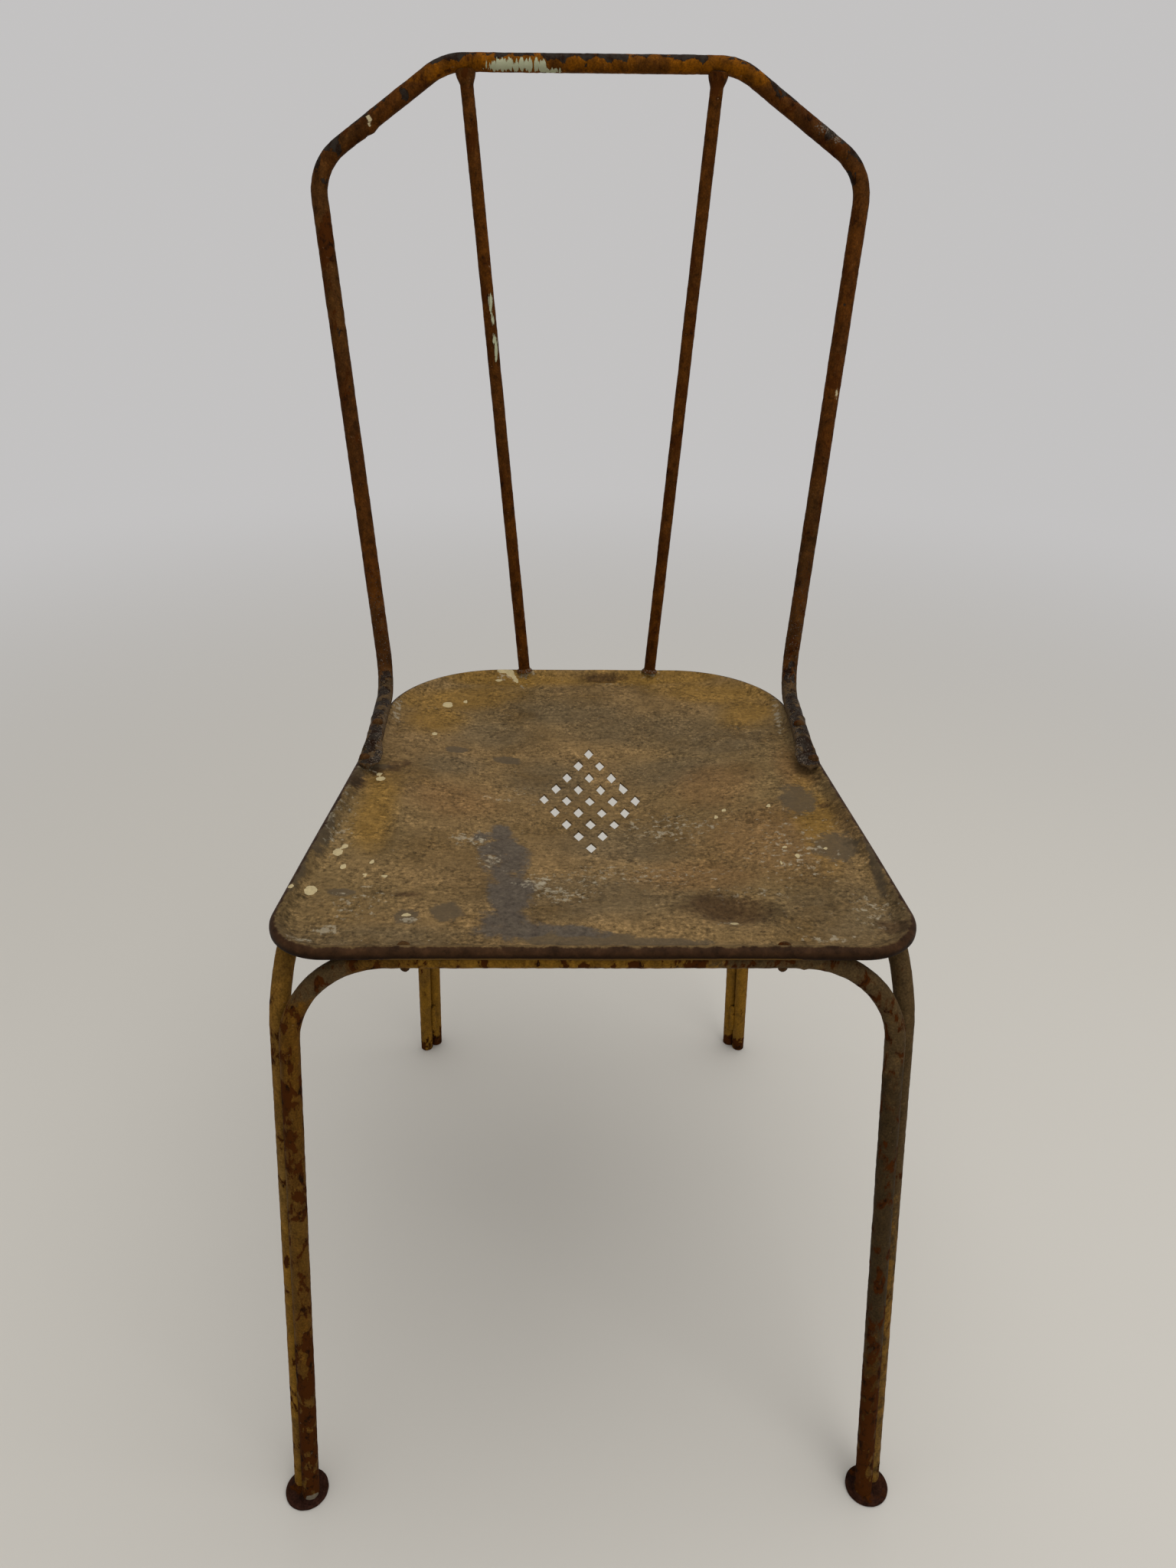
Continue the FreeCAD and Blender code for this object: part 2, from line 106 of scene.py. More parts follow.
# %% The words of a finish
class Finish:
    def __init__(self, name, specular):
        self.material = bpy.data.materials.new(name)
        self.material.use_nodes = True
        self.tree = self.material.node_tree
        self.shader = self.tree.nodes["Principled BSDF"]
        self.shader.inputs["Specular IOR Level"].default_value = specular
        self.place = self.add("TexCoord", "Object", {})

    def add(self, kind, output, inputs, **settings):
        return add_node(self.tree, kind, output, inputs, **settings)

    def noise(self, per_metre, detail, rough=0.55, stretch=(1, 1, 1), shift=0.0, twist=0.0):
        place = self.add("Mapping", "Vector", {
            "Vector": self.place, "Scale": stretch, "Location": (shift,) * 3})
        return self.add("TexNoise", "Fac", {
            "Vector": place, "Scale": per_metre, "Detail": detail, "Roughness": rough, "Distortion": twist})

    def mark(self, name):
        """A value that was painted on the mesh, 0 where the mesh has none."""
        return self.add("Attribute", "Fac", {}, attribute_name=name)

    def maths(self, operation, first, second):
        return self.add("Math", "Value", {0: first, 1: second}, operation=operation)

    def plus(self, first, second):
        return self.maths("ADD", first, second)

    def times(self, first, second):
        return self.maths("MULTIPLY", first, second)

    def raised(self, value, mark, share):
        """The value, higher by a share where the mark is painted."""
        return self.plus(value, self.times(self.mark(mark), share))

    def drift(self, texture, reach):
        return self.times(self.maths("SUBTRACT", texture, 0.5), reach)

    def step(self, value, low, high, out_low=0.0, out_high=1.0):
        """0 below low and 1 above high, with a soft rise between."""
        return self.add("MapRange", "Result", {
            "Value": value, "From Min": low, "From Max": high, "To Min": out_low, "To Max": out_high,
        }, interpolation_type="SMOOTHSTEP")

    def blend(self, share, first, second, how="MIX"):
        return self.add("Mix", 2, {0: share, 6: first, 7: second}, data_type="RGBA", blend_type=how)

    def tint(self, share, colour, factor):
        """The colour times a factor, above 1 to lighten it, where the share is 1."""
        return self.blend(share, colour, (factor,) * 3, "MULTIPLY")

    def mottled(self, colour, texture, dark, light, spread=0.16):
        """The colour darkened where the texture is high and lightened where it is low."""
        colour = self.tint(self.step(texture, 0.5, 0.5 + spread), colour, dark)
        return self.tint(self.step(texture, 0.5, 0.5 - spread), colour, light)

    def upward(self):
        return self.add("SeparateXYZ", "Z", {"Vector": self.add("TexCoord", "Normal", {})})

    def ragged(self, mark, texture, reach, low, high):
        """A painted mark with its soft edge broken up by noise."""
        value = self.plus(self.mark(mark), self.drift(texture, reach))
        return self.times(self.step(value, low, high), self.step(self.mark(mark), 0.02, 0.1))

    def finish(self, colour, roughness, height, depth):
        bump = self.add("Bump", "Normal", {"Distance": depth, "Strength": 1.0, "Height": height})
        for name, value in (("Base Color", colour), ("Roughness", roughness), ("Normal", bump)):
            put(self.tree, value, self.shader.inputs[name])
        return self.material


print("node words:", [word for word in vars(Finish) if not word.startswith("_")])

# %% [markdown]
# ## Floor
# A plain pale floor catches the soft shadow. Its surface turns into a plain glow far away, in the
# colour of the surroundings, so no horizon cuts through the back of the chair.

# %% Floor
PALE_FLOOR = (0.63, 0.60, 0.545)
PALE_WALL = (0.548, 0.539, 0.537)
FLOOR_HALF, FLOOR_DROP = 30, -0.3 * MM
FADE_START, FADE_END = 0.7, 2.8


def make_floor():
    mesh = bmesh.new()
    bmesh.ops.create_grid(mesh, x_segments=1, y_segments=1, size=FLOOR_HALF)
    bmesh.ops.translate(mesh, verts=mesh.verts, vec=(0, 0, FLOOR_DROP))
    floor = new_object("floor", bpy.data.meshes.new("floor"))
    mesh.to_mesh(floor.data)
    mesh.free()
    mix = Finish("pale floor", 0.0)
    put(mix.tree, PALE_FLOOR, mix.shader.inputs["Base Color"])
    mix.shader.inputs["Roughness"].default_value = 0.9
    distance = mix.add("VectorMath", "Value", {0: mix.place}, operation="LENGTH")
    glow = mix.add("Emission", 0, {"Color": PALE_WALL})
    surface = mix.add("MixShader", 0, {
        0: mix.step(distance, FADE_START, FADE_END), 1: mix.shader.outputs[0], 2: glow})
    put(mix.tree, surface, mix.tree.nodes["Material Output"].inputs["Surface"])
    floor.data.materials.append(mix.material)
    print("floor is", 2 * FLOOR_HALF, "m wide")


make_floor()

# %% [markdown]
# ## Light
# A wide lamp overhead, a weaker one in front and an even sky give the flat light of a white room.
# The camera and clear or shiny surfaces see a pale wall in place of the sky, so the backdrop can be
# set without changing the light.

# %% Sky and lamps
SKY_STRENGTH = 0.50
LAMPS = {"overhead": (2.6, 26.0, (0.35, -0.25, 2.5)), "front": (1.8, 15.0, (1.1, -1.9, 2.0))}
LIT_PLACE = Vector((0, 0, 0.4))


def make_sky():
    world = bpy.data.worlds.new("room")
    bpy.context.scene.world = world
    world.use_nodes = True
    tree = world.node_tree
    light = tree.nodes["Background"]
    light.inputs["Color"].default_value = (1, 1, 1, 1)
    light.inputs["Strength"].default_value = SKY_STRENGTH
    wall = add_node(tree, "Background", 0, {"Color": PALE_WALL})
    path = tree.nodes.new("ShaderNodeLightPath")
    seen = path.outputs["Is Camera Ray"]
    for ray in ("Is Glossy Ray", "Is Transmission Ray"):
        seen = add_node(tree, "Math", 0, {0: seen, 1: path.outputs[ray]}, operation="MAXIMUM")
    sky = add_node(tree, "MixShader", 0, {0: seen, 1: light.outputs[0], 2: wall})
    put(tree, sky, tree.nodes["World Output"].inputs["Surface"])


def hang_lamp(name, width, power, place):
    lamp = bpy.data.lights.new(name, "AREA")
    lamp.shape = "DISK"
    lamp.size = width
    lamp.energy = power
    hung = new_object(name, lamp)
    hung.location = place
    hung.rotation_euler = (hung.location - LIT_PLACE).to_track_quat("Z", "Y").to_euler()


make_sky()
for lamp_name, (width, power, place) in LAMPS.items():
    hang_lamp(lamp_name, width, power, place)
bpy.context.scene.view_settings.view_transform = "Standard"
print("sky and lamps:", list(LAMPS))

# %% [markdown]
# ## Bent tube
# The chair's hoops are straight runs joined by smooth bends. A maker pulls a tube through a bender;
# here a ring of vertices is pulled along each run and swung round each bend. The rings lie close
# enough to make the surface uneven later.

# %% Ring, pull and swing
RING_SIDES = 28
RING_GAP = 2.5 * MM
BEND_STEPS_LEAST = 4
WELD_GAP = 0.05 * MM


def start_ring(mesh, centre, direction, radius):
    turn = direction.to_track_quat("Z", "Y").to_matrix().to_4x4()
    place = Matrix.Translation(centre) @ turn
    made = bmesh.ops.create_circle(mesh, cap_ends=False, segments=RING_SIDES, radius=radius, matrix=place)
    return list(dict.fromkeys(edge for vert in made["verts"] for edge in vert.link_edges))


def pull(mesh, ring, matrix):
    """The ring extruded once and moved by the matrix; returns the new ring."""
    made = bmesh.ops.extrude_edge_only(mesh, edges=ring)["geom"]
    verts = [part for part in made if isinstance(part, BMVert)]
    bmesh.ops.transform(mesh, matrix=matrix, verts=verts)
    return [part for part in made if isinstance(part, BMEdge)
            and all(vert in set(verts) for vert in part.verts)]


def pull_straight(mesh, ring, move):
    count = max(1, round(move.length / RING_GAP))
    for _ in range(count):
        ring = pull(mesh, ring, Matrix.Translation(move / count))
    return ring


def swing(mesh, ring, centre, axis, angle, radius):
    count = max(BEND_STEPS_LEAST, round(angle * radius / RING_GAP))
    made = bmesh.ops.spin(mesh, geom=ring, cent=centre, axis=axis, angle=angle, steps=count)
    return [part for part in made["geom_last"] if isinstance(part, BMEdge)]


# %% Bent tube
def bent_tube(points, bend_radii, tube_radius):
    mesh = bmesh.new()
    here = points[0]
    ring = start_ring(mesh, here, (points[1] - here).normalized(), tube_radius)
    for before, corner, after, bend_radius in zip(points, points[1:], points[2:], bend_radii):
        arrive = (corner - before).normalized()
        leave = (after - corner).normalized()
        angle = arrive.angle(leave)
        reach = bend_radius * math.tan(angle / 2)
        start = corner - arrive * reach
        ring = pull_straight(mesh, ring, start - here)
        axis = arrive.cross(leave).normalized()
        ring = swing(mesh, ring, start + axis.cross(arrive) * bend_radius, axis, angle, bend_radius)
        here = corner + leave * reach
    pull_straight(mesh, ring, points[-1] - here)
    bmesh.ops.remove_doubles(mesh, verts=mesh.verts, dist=WELD_GAP)
    return mesh


print("a ring has", RING_SIDES, "sides, and rings lie", RING_GAP / MM, "mm apart")

# %% [markdown]
# ## Uneven metal
# Many coats of paint and rust leave no tube smooth. Each vertex moves a little along its normal:
# slow swells, finer crust on top, and single lumps where the photograph shows weld spatter. Moved
# vertices show in the outline, which a bump in the material can't do.

# %% Roughen
SWELLS_PER_METRE, CRUSTS_PER_METRE = 45, 260
CRUST_SHIFT = Vector((7, 7, 7))


def soft_step(value, low, high):
    share = min(1.0, max(0.0, (value - low) / (high - low)))
    return share * share * (3 - 2 * share)


def roughen(mesh, swell, crust, lumps=()):
    """lumps are (place, radius, height) in millimetres."""
    mesh.normal_update()
    moves = []
    for vert in mesh.verts:
        move = swell * noise.fractal(vert.co * SWELLS_PER_METRE, 1.0, 2.1, 3)
        move += crust * noise.fractal(vert.co * CRUSTS_PER_METRE + CRUST_SHIFT, 0.8, 2.1, 4)
        for centre, radius, height in lumps:
            distance = (vert.co / MM - Vector(centre)).length
            if distance < radius:
                move += height * soft_step(distance, radius, 0)
        moves.append(vert.normal * move * MM)
    for vert, move in zip(mesh.verts, moves):
        vert.co += move


# %% [markdown]
# ## Painted marks
# A chip or a pale worn spot belongs at one place of the chair. A mark is a number from 0 to 1 on
# each vertex, which a finish reads by its name, so one finish serves many pieces and yet knows where
# its layers have come off.

# %% Painted marks
FULL_VALUE = 1.5


def paint_where(mesh, mark, value_at):
    """Each vertex gets the value for its place, where that is more than it has."""
    floats = mesh.verts.layers.float
    layer = floats.get(mark) or floats.new(mark)
    for vert in mesh.verts:
        vert[layer] = max(vert[layer], value_at(vert.co / MM))


def turned(degrees=0):
    return math.cos(math.radians(degrees)), math.sin(math.radians(degrees))


def paint(mesh, mark, spots):
    """spots are (place, radii) and, if any, a turn about Z in degrees. At the radii the value is a half."""
    shapes = [(Vector(place), radii, *turned(*turn)) for place, radii, *turn in spots]

    def value_at(spot):
        values = []
        for place, radii, cosine, sine in shapes:
            x, y, z = spot - place
            along, aside = (x * cosine + y * sine) / radii[0], (y * cosine - x * sine) / radii[1]
            values.append(FULL_VALUE - math.hypot(along, aside, z / radii[2]))
        return min(1.0, max(values))

    paint_where(mesh, mark, value_at)


# %% Keep a piece
def keep(mesh, name, material, stands_for, smooth_angle=50):
    bmesh.ops.recalc_face_normals(mesh, faces=mesh.faces)
    data = bpy.data.meshes.new(name)
    mesh.to_mesh(data)
    mesh.free()
    data.shade_smooth()
    data.set_sharp_from_angle(angle=math.radians(smooth_angle))
    data.materials.append(material)
    piece = new_object(name, data)
    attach(piece, "root")
    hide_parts(*stands_for)
    data.calc_loop_triangles()
    print(name, len(data.loop_triangles), "triangles")


def mirror_mesh(mesh):
    other = mesh.copy()
    bmesh.ops.scale(other, verts=other.verts, vec=(-1, 1, 1))
    bmesh.ops.reverse_faces(other, faces=other.faces)
    return other


# %% [markdown]
# ## Paint on the tubes
# From inside out the tubes carry dark steel, a slate coloured old coat, and ochre on top that has
# gone from olive to burnt orange. Flakes have crisp edges, so each layer is a noise pushed through
# a narrow threshold. Slate shows most on top, where rain and hands wear the ochre away.

# %% Coats of ochre
SLATE, BLACK_RUST = (0.025, 0.019, 0.014), (0.013, 0.005, 0.002)
RED_RUST, FRESH_OCHRE = (0.050, 0.014, 0.002), (0.200, 0.098, 0.011)
WEATHERED, CRUST = (0.066, 0.040, 0.016), (0.155, 0.120, 0.088)
CREAM, CHALK = (0.50, 0.42, 0.25), (0.25, 0.16, 0.09)
SAGE, SAGE_LIGHT = (0.28, 0.29, 0.17), (0.40, 0.40, 0.27)


def ochre_coats(mix, textures, main, warm, shade, fresh_coat, worn_coat, blotch):
    """Olive and orange fields, warmer on downward faces as painted bounce light, yellow where sheltered and
    dull where weathered.
    """
    cloud, small, grain = textures
    colour = mix.blend(mix.step(mix.noise(9, 3), 0.38, 0.62), main, warm)
    # painted bounce light: downward faces take the warm colour, as if lit from the floor below
    colour = mix.blend(mix.step(mix.upward(), 0.2, -0.7, 0, 0.7), colour, warm)
    colour = mix.blend(mix.ragged("fresh", cloud, 0.8, 0.3, 0.7), colour, fresh_coat)
    colour = mix.blend(mix.step(cloud, 0.44, 0.66, 0, 0.75), colour, shade)
    colour = mix.blend(mix.ragged("grey", small, 1.2, 0.25, 0.75), colour, worn_coat)
    colour = mix.mottled(colour, small, *blotch)
    colour = mix.mottled(colour, grain, 0.72, 1.30)
    return mix.tint(mix.ragged("grime", small, 1.4, 0.25, 0.75), colour, 0.6)


# %% Rust, chips and stains
def rust_and_chips(mix, textures, colour, rust, slate, top_wear, flakes):
    """Flaked rust in two tones with a stained border, and chips down to the slate coat."""
    _, small, grain = textures
    flake = mix.noise(flakes, 8, 0.6, stretch=(1, 1, 0.5), shift=1.7, twist=0.25)
    calm = mix.maths("MAXIMUM", mix.mark("fresh"), mix.mark("grey"))
    rusty = mix.maths("SUBTRACT", mix.raised(flake, "rust", 0.16), mix.times(calm, 0.035))
    rust_tone = mix.blend(mix.step(small, 0.50, 0.66), RED_RUST, BLACK_RUST)
    colour = mix.blend(mix.step(rusty, 0.54 - rust, 0.60 - rust, 0, 0.45), colour, RED_RUST)
    rusted = mix.step(rusty, 0.60 - rust, 0.615 - rust)
    colour = mix.blend(rusted, colour, rust_tone)
    chip = mix.noise(100, 8, 0.6, stretch=(1, 1, 0.6), shift=5.3, twist=0.2)
    chip = mix.plus(chip, mix.step(mix.upward(), 0.05, 0.95, 0, top_wear))
    chipped = mix.step(mix.raised(chip, "slate", 0.2), 0.64 - slate, 0.655 - slate)
    colour = mix.blend(chipped, colour, mix.blend(mix.step(small, 0.4, 0.65), SLATE, BLACK_RUST))
    return colour, rusted, chipped


def stains(mix, textures, colour, fleck, pale_spot):
    """Chalky crust, small flecks, strokes of sage green and pale bare spots."""
    _, small, grain = textures
    crust = mix.step(mix.raised(grain, "crust", 0.2), 0.62, 0.74, 0, 0.8)
    crust = mix.times(crust, mix.step(mix.mark("crust"), 0.02, 0.3))
    colour = mix.blend(crust, colour, CRUST)
    colour = mix.blend(mix.step(mix.noise(380, 4, 0.6, shift=9.1), 0.68, 0.74, 0, fleck), colour, CHALK)
    strokes = mix.noise(520, 4, 0.6, stretch=(1, 0.2, 0.12))
    sage = mix.ragged("sage", strokes, 2.8, 0.42, 0.52)
    colour = mix.blend(sage, colour, mix.blend(small, SAGE, SAGE_LIGHT))
    pale = mix.ragged("pale", small, 1.4, 0.42, 0.62)
    return mix.blend(mix.times(pale, 0.8), colour, pale_spot), crust, sage


# %% Tube finish
def layered_height(mix, height, layers):
    for layer, depth in layers:
        height = mix.plus(height, mix.times(layer, depth))
    return height


def tube_finish(name, main, warm, shade, rust=0.0, slate=-0.08, top_wear=0.0, fleck=0.4,
                fresh_coat=FRESH_OCHRE, worn_coat=WEATHERED, pale_spot=CREAM,
                blotch=(0.55, 1.45), flakes=100):
    mix = Finish(name, 0.02)
    cloud = mix.noise(42, 5, 0.62, stretch=(1, 1, 0.55))
    small = mix.noise(190, 6, 0.66, stretch=(1, 1, 0.7), shift=3.1)
    grain = mix.noise(850, 3, 0.6)
    textures = (cloud, small, grain)
    colour = ochre_coats(mix, textures, main, warm, shade, fresh_coat, worn_coat, blotch)
    colour, rusted, chipped = rust_and_chips(mix, textures, colour, rust, slate, top_wear, flakes)
    colour, crust, sage = stains(mix, textures, colour, fleck, pale_spot)
    height = layered_height(mix, mix.plus(mix.times(small, 0.6), mix.times(grain, 0.3)), (
        (rusted, -0.4), (chipped, -0.6), (sage, 0.3), (crust, 0.5)))
    roughness = mix.blend(rusted, mix.blend(cloud, (0.45,) * 3, (0.65,) * 3), (0.85,) * 3)
    return mix.finish(colour, roughness, height, 0.4 * MM)


# %% Paint of each kind of tube
hoop_paint = tube_finish(
    "hoop paint", (0.058, 0.023, 0.005), (0.068, 0.021, 0.0025), (0.036, 0.013, 0.003), rust=-0.01,
    slate=-0.03, top_wear=0.21, fleck=0.3, fresh_coat=(0.130, 0.042, 0.001), worn_coat=(0.066, 0.040, 0.018))
leg_paint = tube_finish(
    "leg paint", (0.100, 0.050, 0.009), (0.096, 0.042, 0.005), (0.080, 0.036, 0.006), rust=0.04,
    slate=-0.09, pale_spot=(0.17, 0.145, 0.105), blotch=(0.74, 1.26), flakes=150)
side_paint = tube_finish(
    "side leg paint", (0.170, 0.092, 0.020), (0.155, 0.076, 0.012), (0.125, 0.064, 0.013), rust=-0.01,
    slate=-0.09, pale_spot=(0.20, 0.16, 0.10), blotch=(0.74, 1.26), flakes=130)
rod_paint = tube_finish(
    "rod paint", (0.060, 0.020, 0.003), (0.068, 0.021, 0.002), (0.042, 0.013, 0.002), fleck=0.7)
disc_paint = tube_finish(
    "disc paint", (0.026, 0.010, 0.006), (0.032, 0.011, 0.004), (0.014, 0.006, 0.004), fleck=0.2)
print("tube finishes:", [paint.name for paint in (hoop_paint, leg_paint, side_paint, rod_paint, disc_paint)])

# %% [markdown]
# ## The leg hoops
# Four hoops carry the seat: across the front, across the rear and along each side. At each corner
# two tubes stand side by side. The corner and foot of one are read off the real chair, and the other
# lies a level step of one tube's width away, so that the two always touch.

# %% Corners and feet
HALF_TUBE, HALF_ROD = 6.0, 4.7
TUBE_RADIUS = HALF_TUBE * MM
TUBE_WALL = 1.2 * MM
PAIR_GAP = 0.2 * MM
LEG_BEND = 60 * MM
BAR_HEIGHT = 441.8
DISC_TOP = 3.2 * MM
FRONT_PAIR_TURN, REAR_PAIR_TURN = 53, 136
front_corner = Vector((172.8, -203, BAR_HEIGHT)) * MM
front_foot = Vector((196.1, -240.5, 0)) * MM
side_rear_corner = Vector((147, 171.5, BAR_HEIGHT)) * MM
side_rear_foot = Vector((167.5, 236.7, 0)) * MM


def beside(direction, turn):
    """The level step from a leg tube to the one that touches it."""
    step = Vector((*turned(turn), 0))
    return step * ((2 * TUBE_RADIUS + PAIR_GAP) / step.cross(direction.normalized()).length)


front_step = beside(front_foot - front_corner, FRONT_PAIR_TURN)
rear_step = beside(side_rear_foot - side_rear_corner, REAR_PAIR_TURN)
side_front_corner, side_front_foot = front_corner + front_step, front_foot + front_step
rear_corner, rear_foot = side_rear_corner + rear_step, side_rear_foot + rear_step
print("steps in a pair, mm:", [round(step.length / MM, 2) for step in (front_step, rear_step)])

# %% [markdown]
# ## Cutting the feet
# A leg leans, so its tube is made a little too long and cut off level. The open end then gets the
# tube's wall and a short stretch of bore, because the rear legs stand on bare open tube.

# %% Cut level
OVERRUN = 0.04
BORE_SHOWN = 18 * MM
LEVEL_TOLERANCE = 0.01 * MM


def separate_loops(edges):
    left, loops = dict.fromkeys(edges), []
    while left:
        loop, queue = [], [left.popitem()[0]]
        while queue:
            edge = queue.pop()
            loop.append(edge)
            for other in [other for vert in edge.verts for other in vert.link_edges]:
                if other in left:
                    del left[other]
                    queue.append(other)
        loops.append(loop)
    return loops


def cut_level(mesh, height, keep_test):
    """Cut the legs that pass the test level at a height, and close their ends with the tube's wall."""
    parts = [part for group in (mesh.verts, mesh.edges, mesh.faces) for part in group
             if keep_test(part.co if isinstance(part, BMVert) else part.verts[0].co)]
    bmesh.ops.bisect_plane(mesh, geom=parts, plane_co=(0, 0, height), plane_no=(0, 0, -1), clear_outer=True)
    rim = [edge for edge in mesh.edges if edge.is_boundary and keep_test(edge.verts[0].co)
           and abs(edge.verts[0].co.z - height) < LEVEL_TOLERANCE]
    for loop in separate_loops(rim):
        verts = dict.fromkeys(vert for edge in loop for vert in edge.verts)
        centre = sum((vert.co for vert in verts), Vector()) / len(verts)
        shrink = Matrix.Scale(1 - TUBE_WALL / TUBE_RADIUS, 4)
        inner = pull(mesh, loop, Matrix.Translation(centre) @ shrink @ Matrix.Translation(-centre))
        deep = pull(mesh, inner, Matrix.Translation((0, 0, BORE_SHOWN)))
        bmesh.ops.contextual_create(mesh, geom=deep)


# %% Front hoop
SPATTER = [((152, -209, 446), 5, 1.3), ((146, -208, 448), 4, 0.9), ((158, -210, 443), 4, 0.8),
           ((128, -207, 448), 4, 0.7), ((118, -205, 435.5), 4, 1.2)]


def across(point):
    return Vector((-point.x, point.y, point.z))


def below(foot, corner):
    return foot + (foot - corner) * OVERRUN


def cross_hoop(corner, foot, height, lumps=()):
    end = below(foot, corner)
    mesh = bent_tube([end, corner, across(corner), across(end)], [LEG_BEND] * 2, TUBE_RADIUS)
    roughen(mesh, 0.12, 0.18, lumps)
    cut_level(mesh, height, lambda place: True)
    return mesh


front_mesh = cross_hoop(front_corner, front_foot, DISC_TOP, SPATTER)
print("front hoop:", len(front_mesh.verts), "vertices")

# %% [markdown]
# ## Wear on the front hoop
# Rust creeps up from the feet, yellow ochre survives in the shelter of the seat, and the right leg
# has gone grey with dirt. Broad changes like these are a value worked out from the place, while the
# flakes on the left leg and the chips along the bar are single painted spots.

# %% Front hoop's marks
BLOTCHES = [((-181, -214, z), (6, 8, height))
            for z, height in ((345, 16), (320, 9), (300, 6), (262, 14), (236, 7), (212, 5), (196, 9))]
BAR_CHIPS = [((x, -208, 438), (radius, 8, 5))
             for x, radius in ((-5, 4), (3, 3), (21, 5), (55, 4), (-60, 2), (88, 3))]


def sheltered(place):
    """1 deep under the seat, where the yellow ochre has kept its colour."""
    away = max(abs(place.x) - 90, -160 - place.y if abs(place.x) > 110 else 0) / 60
    return soft_step(place.z, 395, 425) * soft_step(away, 1, 0)


def right_leg_grime(place):
    return soft_step(place.z, 30, 80) * soft_step(place.z, 400, 330) * soft_step(place.x, 0, 100)


def worn_grey(place):
    """Grey on the right leg and on both bends, but not on the bar between them."""
    leg = 0.8 * soft_step(place.z, 60, 200) * soft_step(place.x, 0, 100)
    bend = 0.9 * soft_step(place.z, 405, 425) * soft_step(abs(place.x), 125, 145)
    return max(leg, bend)


paint_where(front_mesh, "rust", lambda place: 0.9 * soft_step(place.z, 230, 60))
paint(front_mesh, "rust", BLOTCHES + BAR_CHIPS)
paint_where(front_mesh, "fresh", lambda place: 0.6 * sheltered(place))
paint_where(front_mesh, "grime", right_leg_grime)
paint_where(front_mesh, "grey", worn_grey)
paint(front_mesh, "pale", [((-192, -246, 6), (6, 5, 4))])
keep(front_mesh, "front_hoop_tube", leg_paint, ["front_leg_hoop"])


# %% Rear hoop
def rusty_end(place):
    return 1.5 * soft_step(place.z, 26, 8)


rear_mesh = cross_hoop(rear_corner, rear_foot, 0)
paint_where(rear_mesh, "fresh", lambda place: 1.0)
paint_where(rear_mesh, "rust", rusty_end)
keep(rear_mesh, "rear_hoop_tube", side_paint, ["rear_leg_hoop"])


# %% Side hoops
def side_hoop():
    points = [below(side_front_foot, side_front_corner), side_front_corner,
              side_rear_corner, below(side_rear_foot, side_rear_corner)]
    mesh = bent_tube(points, [LEG_BEND] * 2, TUBE_RADIUS)
    roughen(mesh, 0.12, 0.18)
    cut_level(mesh, DISC_TOP, lambda place: place.y < 0)
    cut_level(mesh, 0, lambda place: place.y > 0)
    return mesh


right_mesh = side_hoop()
left_mesh = mirror_mesh(right_mesh)
for side_mesh in (right_mesh, left_mesh):
    paint_where(side_mesh, "rust", lambda place: rusty_end(place) if place.y > 0 else 0)
    paint_where(side_mesh, "fresh", lambda place: soft_step(place.y, -120, 20))
paint_where(left_mesh, "fresh", lambda place: 0.7 * soft_step(place.z, 330, 200) * soft_step(place.y, 0, -60))
paint(left_mesh, "pale", [((-198, -233, 24), (2, 4, 16))])
paint_where(right_mesh, "grey", lambda place: (
    (0.4 + 0.6 * soft_step(place.z, 180, 330)) * soft_step(place.y, -100, -160)))
keep(right_mesh, "right_hoop_tube", side_paint, ["right_leg_hoop"])
keep(left_mesh, "left_hoop_tube", side_paint, ["left_leg_hoop"])

# %% [markdown]
# ## The back hoop
# One long tube makes the rail, the sloping shoulders and the sides. Near the seat it bends forward
# and its ends are hammered flat to take the rivets, so the last part of the round tube is squeezed
# into a pad with a rounded nose.

# %% Line of the back hoop
HOOP_AXIS, SHOULDER_HEIGHT, RAIL_HEIGHT = 461.2, 835, 899.5
PAD_X, BASE_X, SHOULDER_X, RAIL_CORNER = 158.3, 163.0, 196.8, 102.3
PAD_NOSE, PAD_FLAT, PAD_ROUND, BASE_Y = 3.0, 23.0, 37.0, 141.5
BACK_RAKE = math.tan(math.radians(9.4))
BACK_BENDS = [200 * MM, 35 * MM, 38 * MM, 45 * MM]


def back_y(height):
    return BASE_Y + (height - HOOP_AXIS) * BACK_RAKE


def hoop_points():
    raked = [Vector((x, back_y(z), z)) * MM for x, z in (
        (BASE_X, HOOP_AXIS), (SHOULDER_X, SHOULDER_HEIGHT), (RAIL_CORNER, RAIL_HEIGHT))]
    right = [Vector((PAD_X, y, HOOP_AXIS)) * MM for y in (PAD_NOSE, PAD_ROUND)] + raked
    return right + [across(point) for point in reversed(right)]


print("the rail lies", round(back_y(RAIL_HEIGHT) - BASE_Y, 1), "mm behind the hoop's foot")

# %% Shape of the back hoop
PAD_HALF_WIDTH, PAD_HALF_HEIGHT, PAD_MIDDLE = 8.0, 2.25, 457.45
NOSE_LENGTH, NOSE_LEAST, PAD_CLEAR = 9.6, 0.06, 8
SHOULDER_LUMPS = [((-154, 207, 856), 6, 1.4), ((-160, 206, 851), 5, 0.6), ((181, 203, 838), 5, 0.5)]
PAD_LUMPS = [((side * x, y, z), radius, height) for side in (-1, 1) for x, y, z, radius, height in (
    (153, 22, 460, 5, 0.8), (163, 27, 461, 5, 0.9), (155, 35, 464, 5, 0.8), (161, 44, 467, 6, 0.9),
    (156, 66, 467, 6, 0.6), (164, 72, 465, 6, 0.8), (158, 84, 467, 7, 0.5), (152, 96, 464, 7, 0.6))]


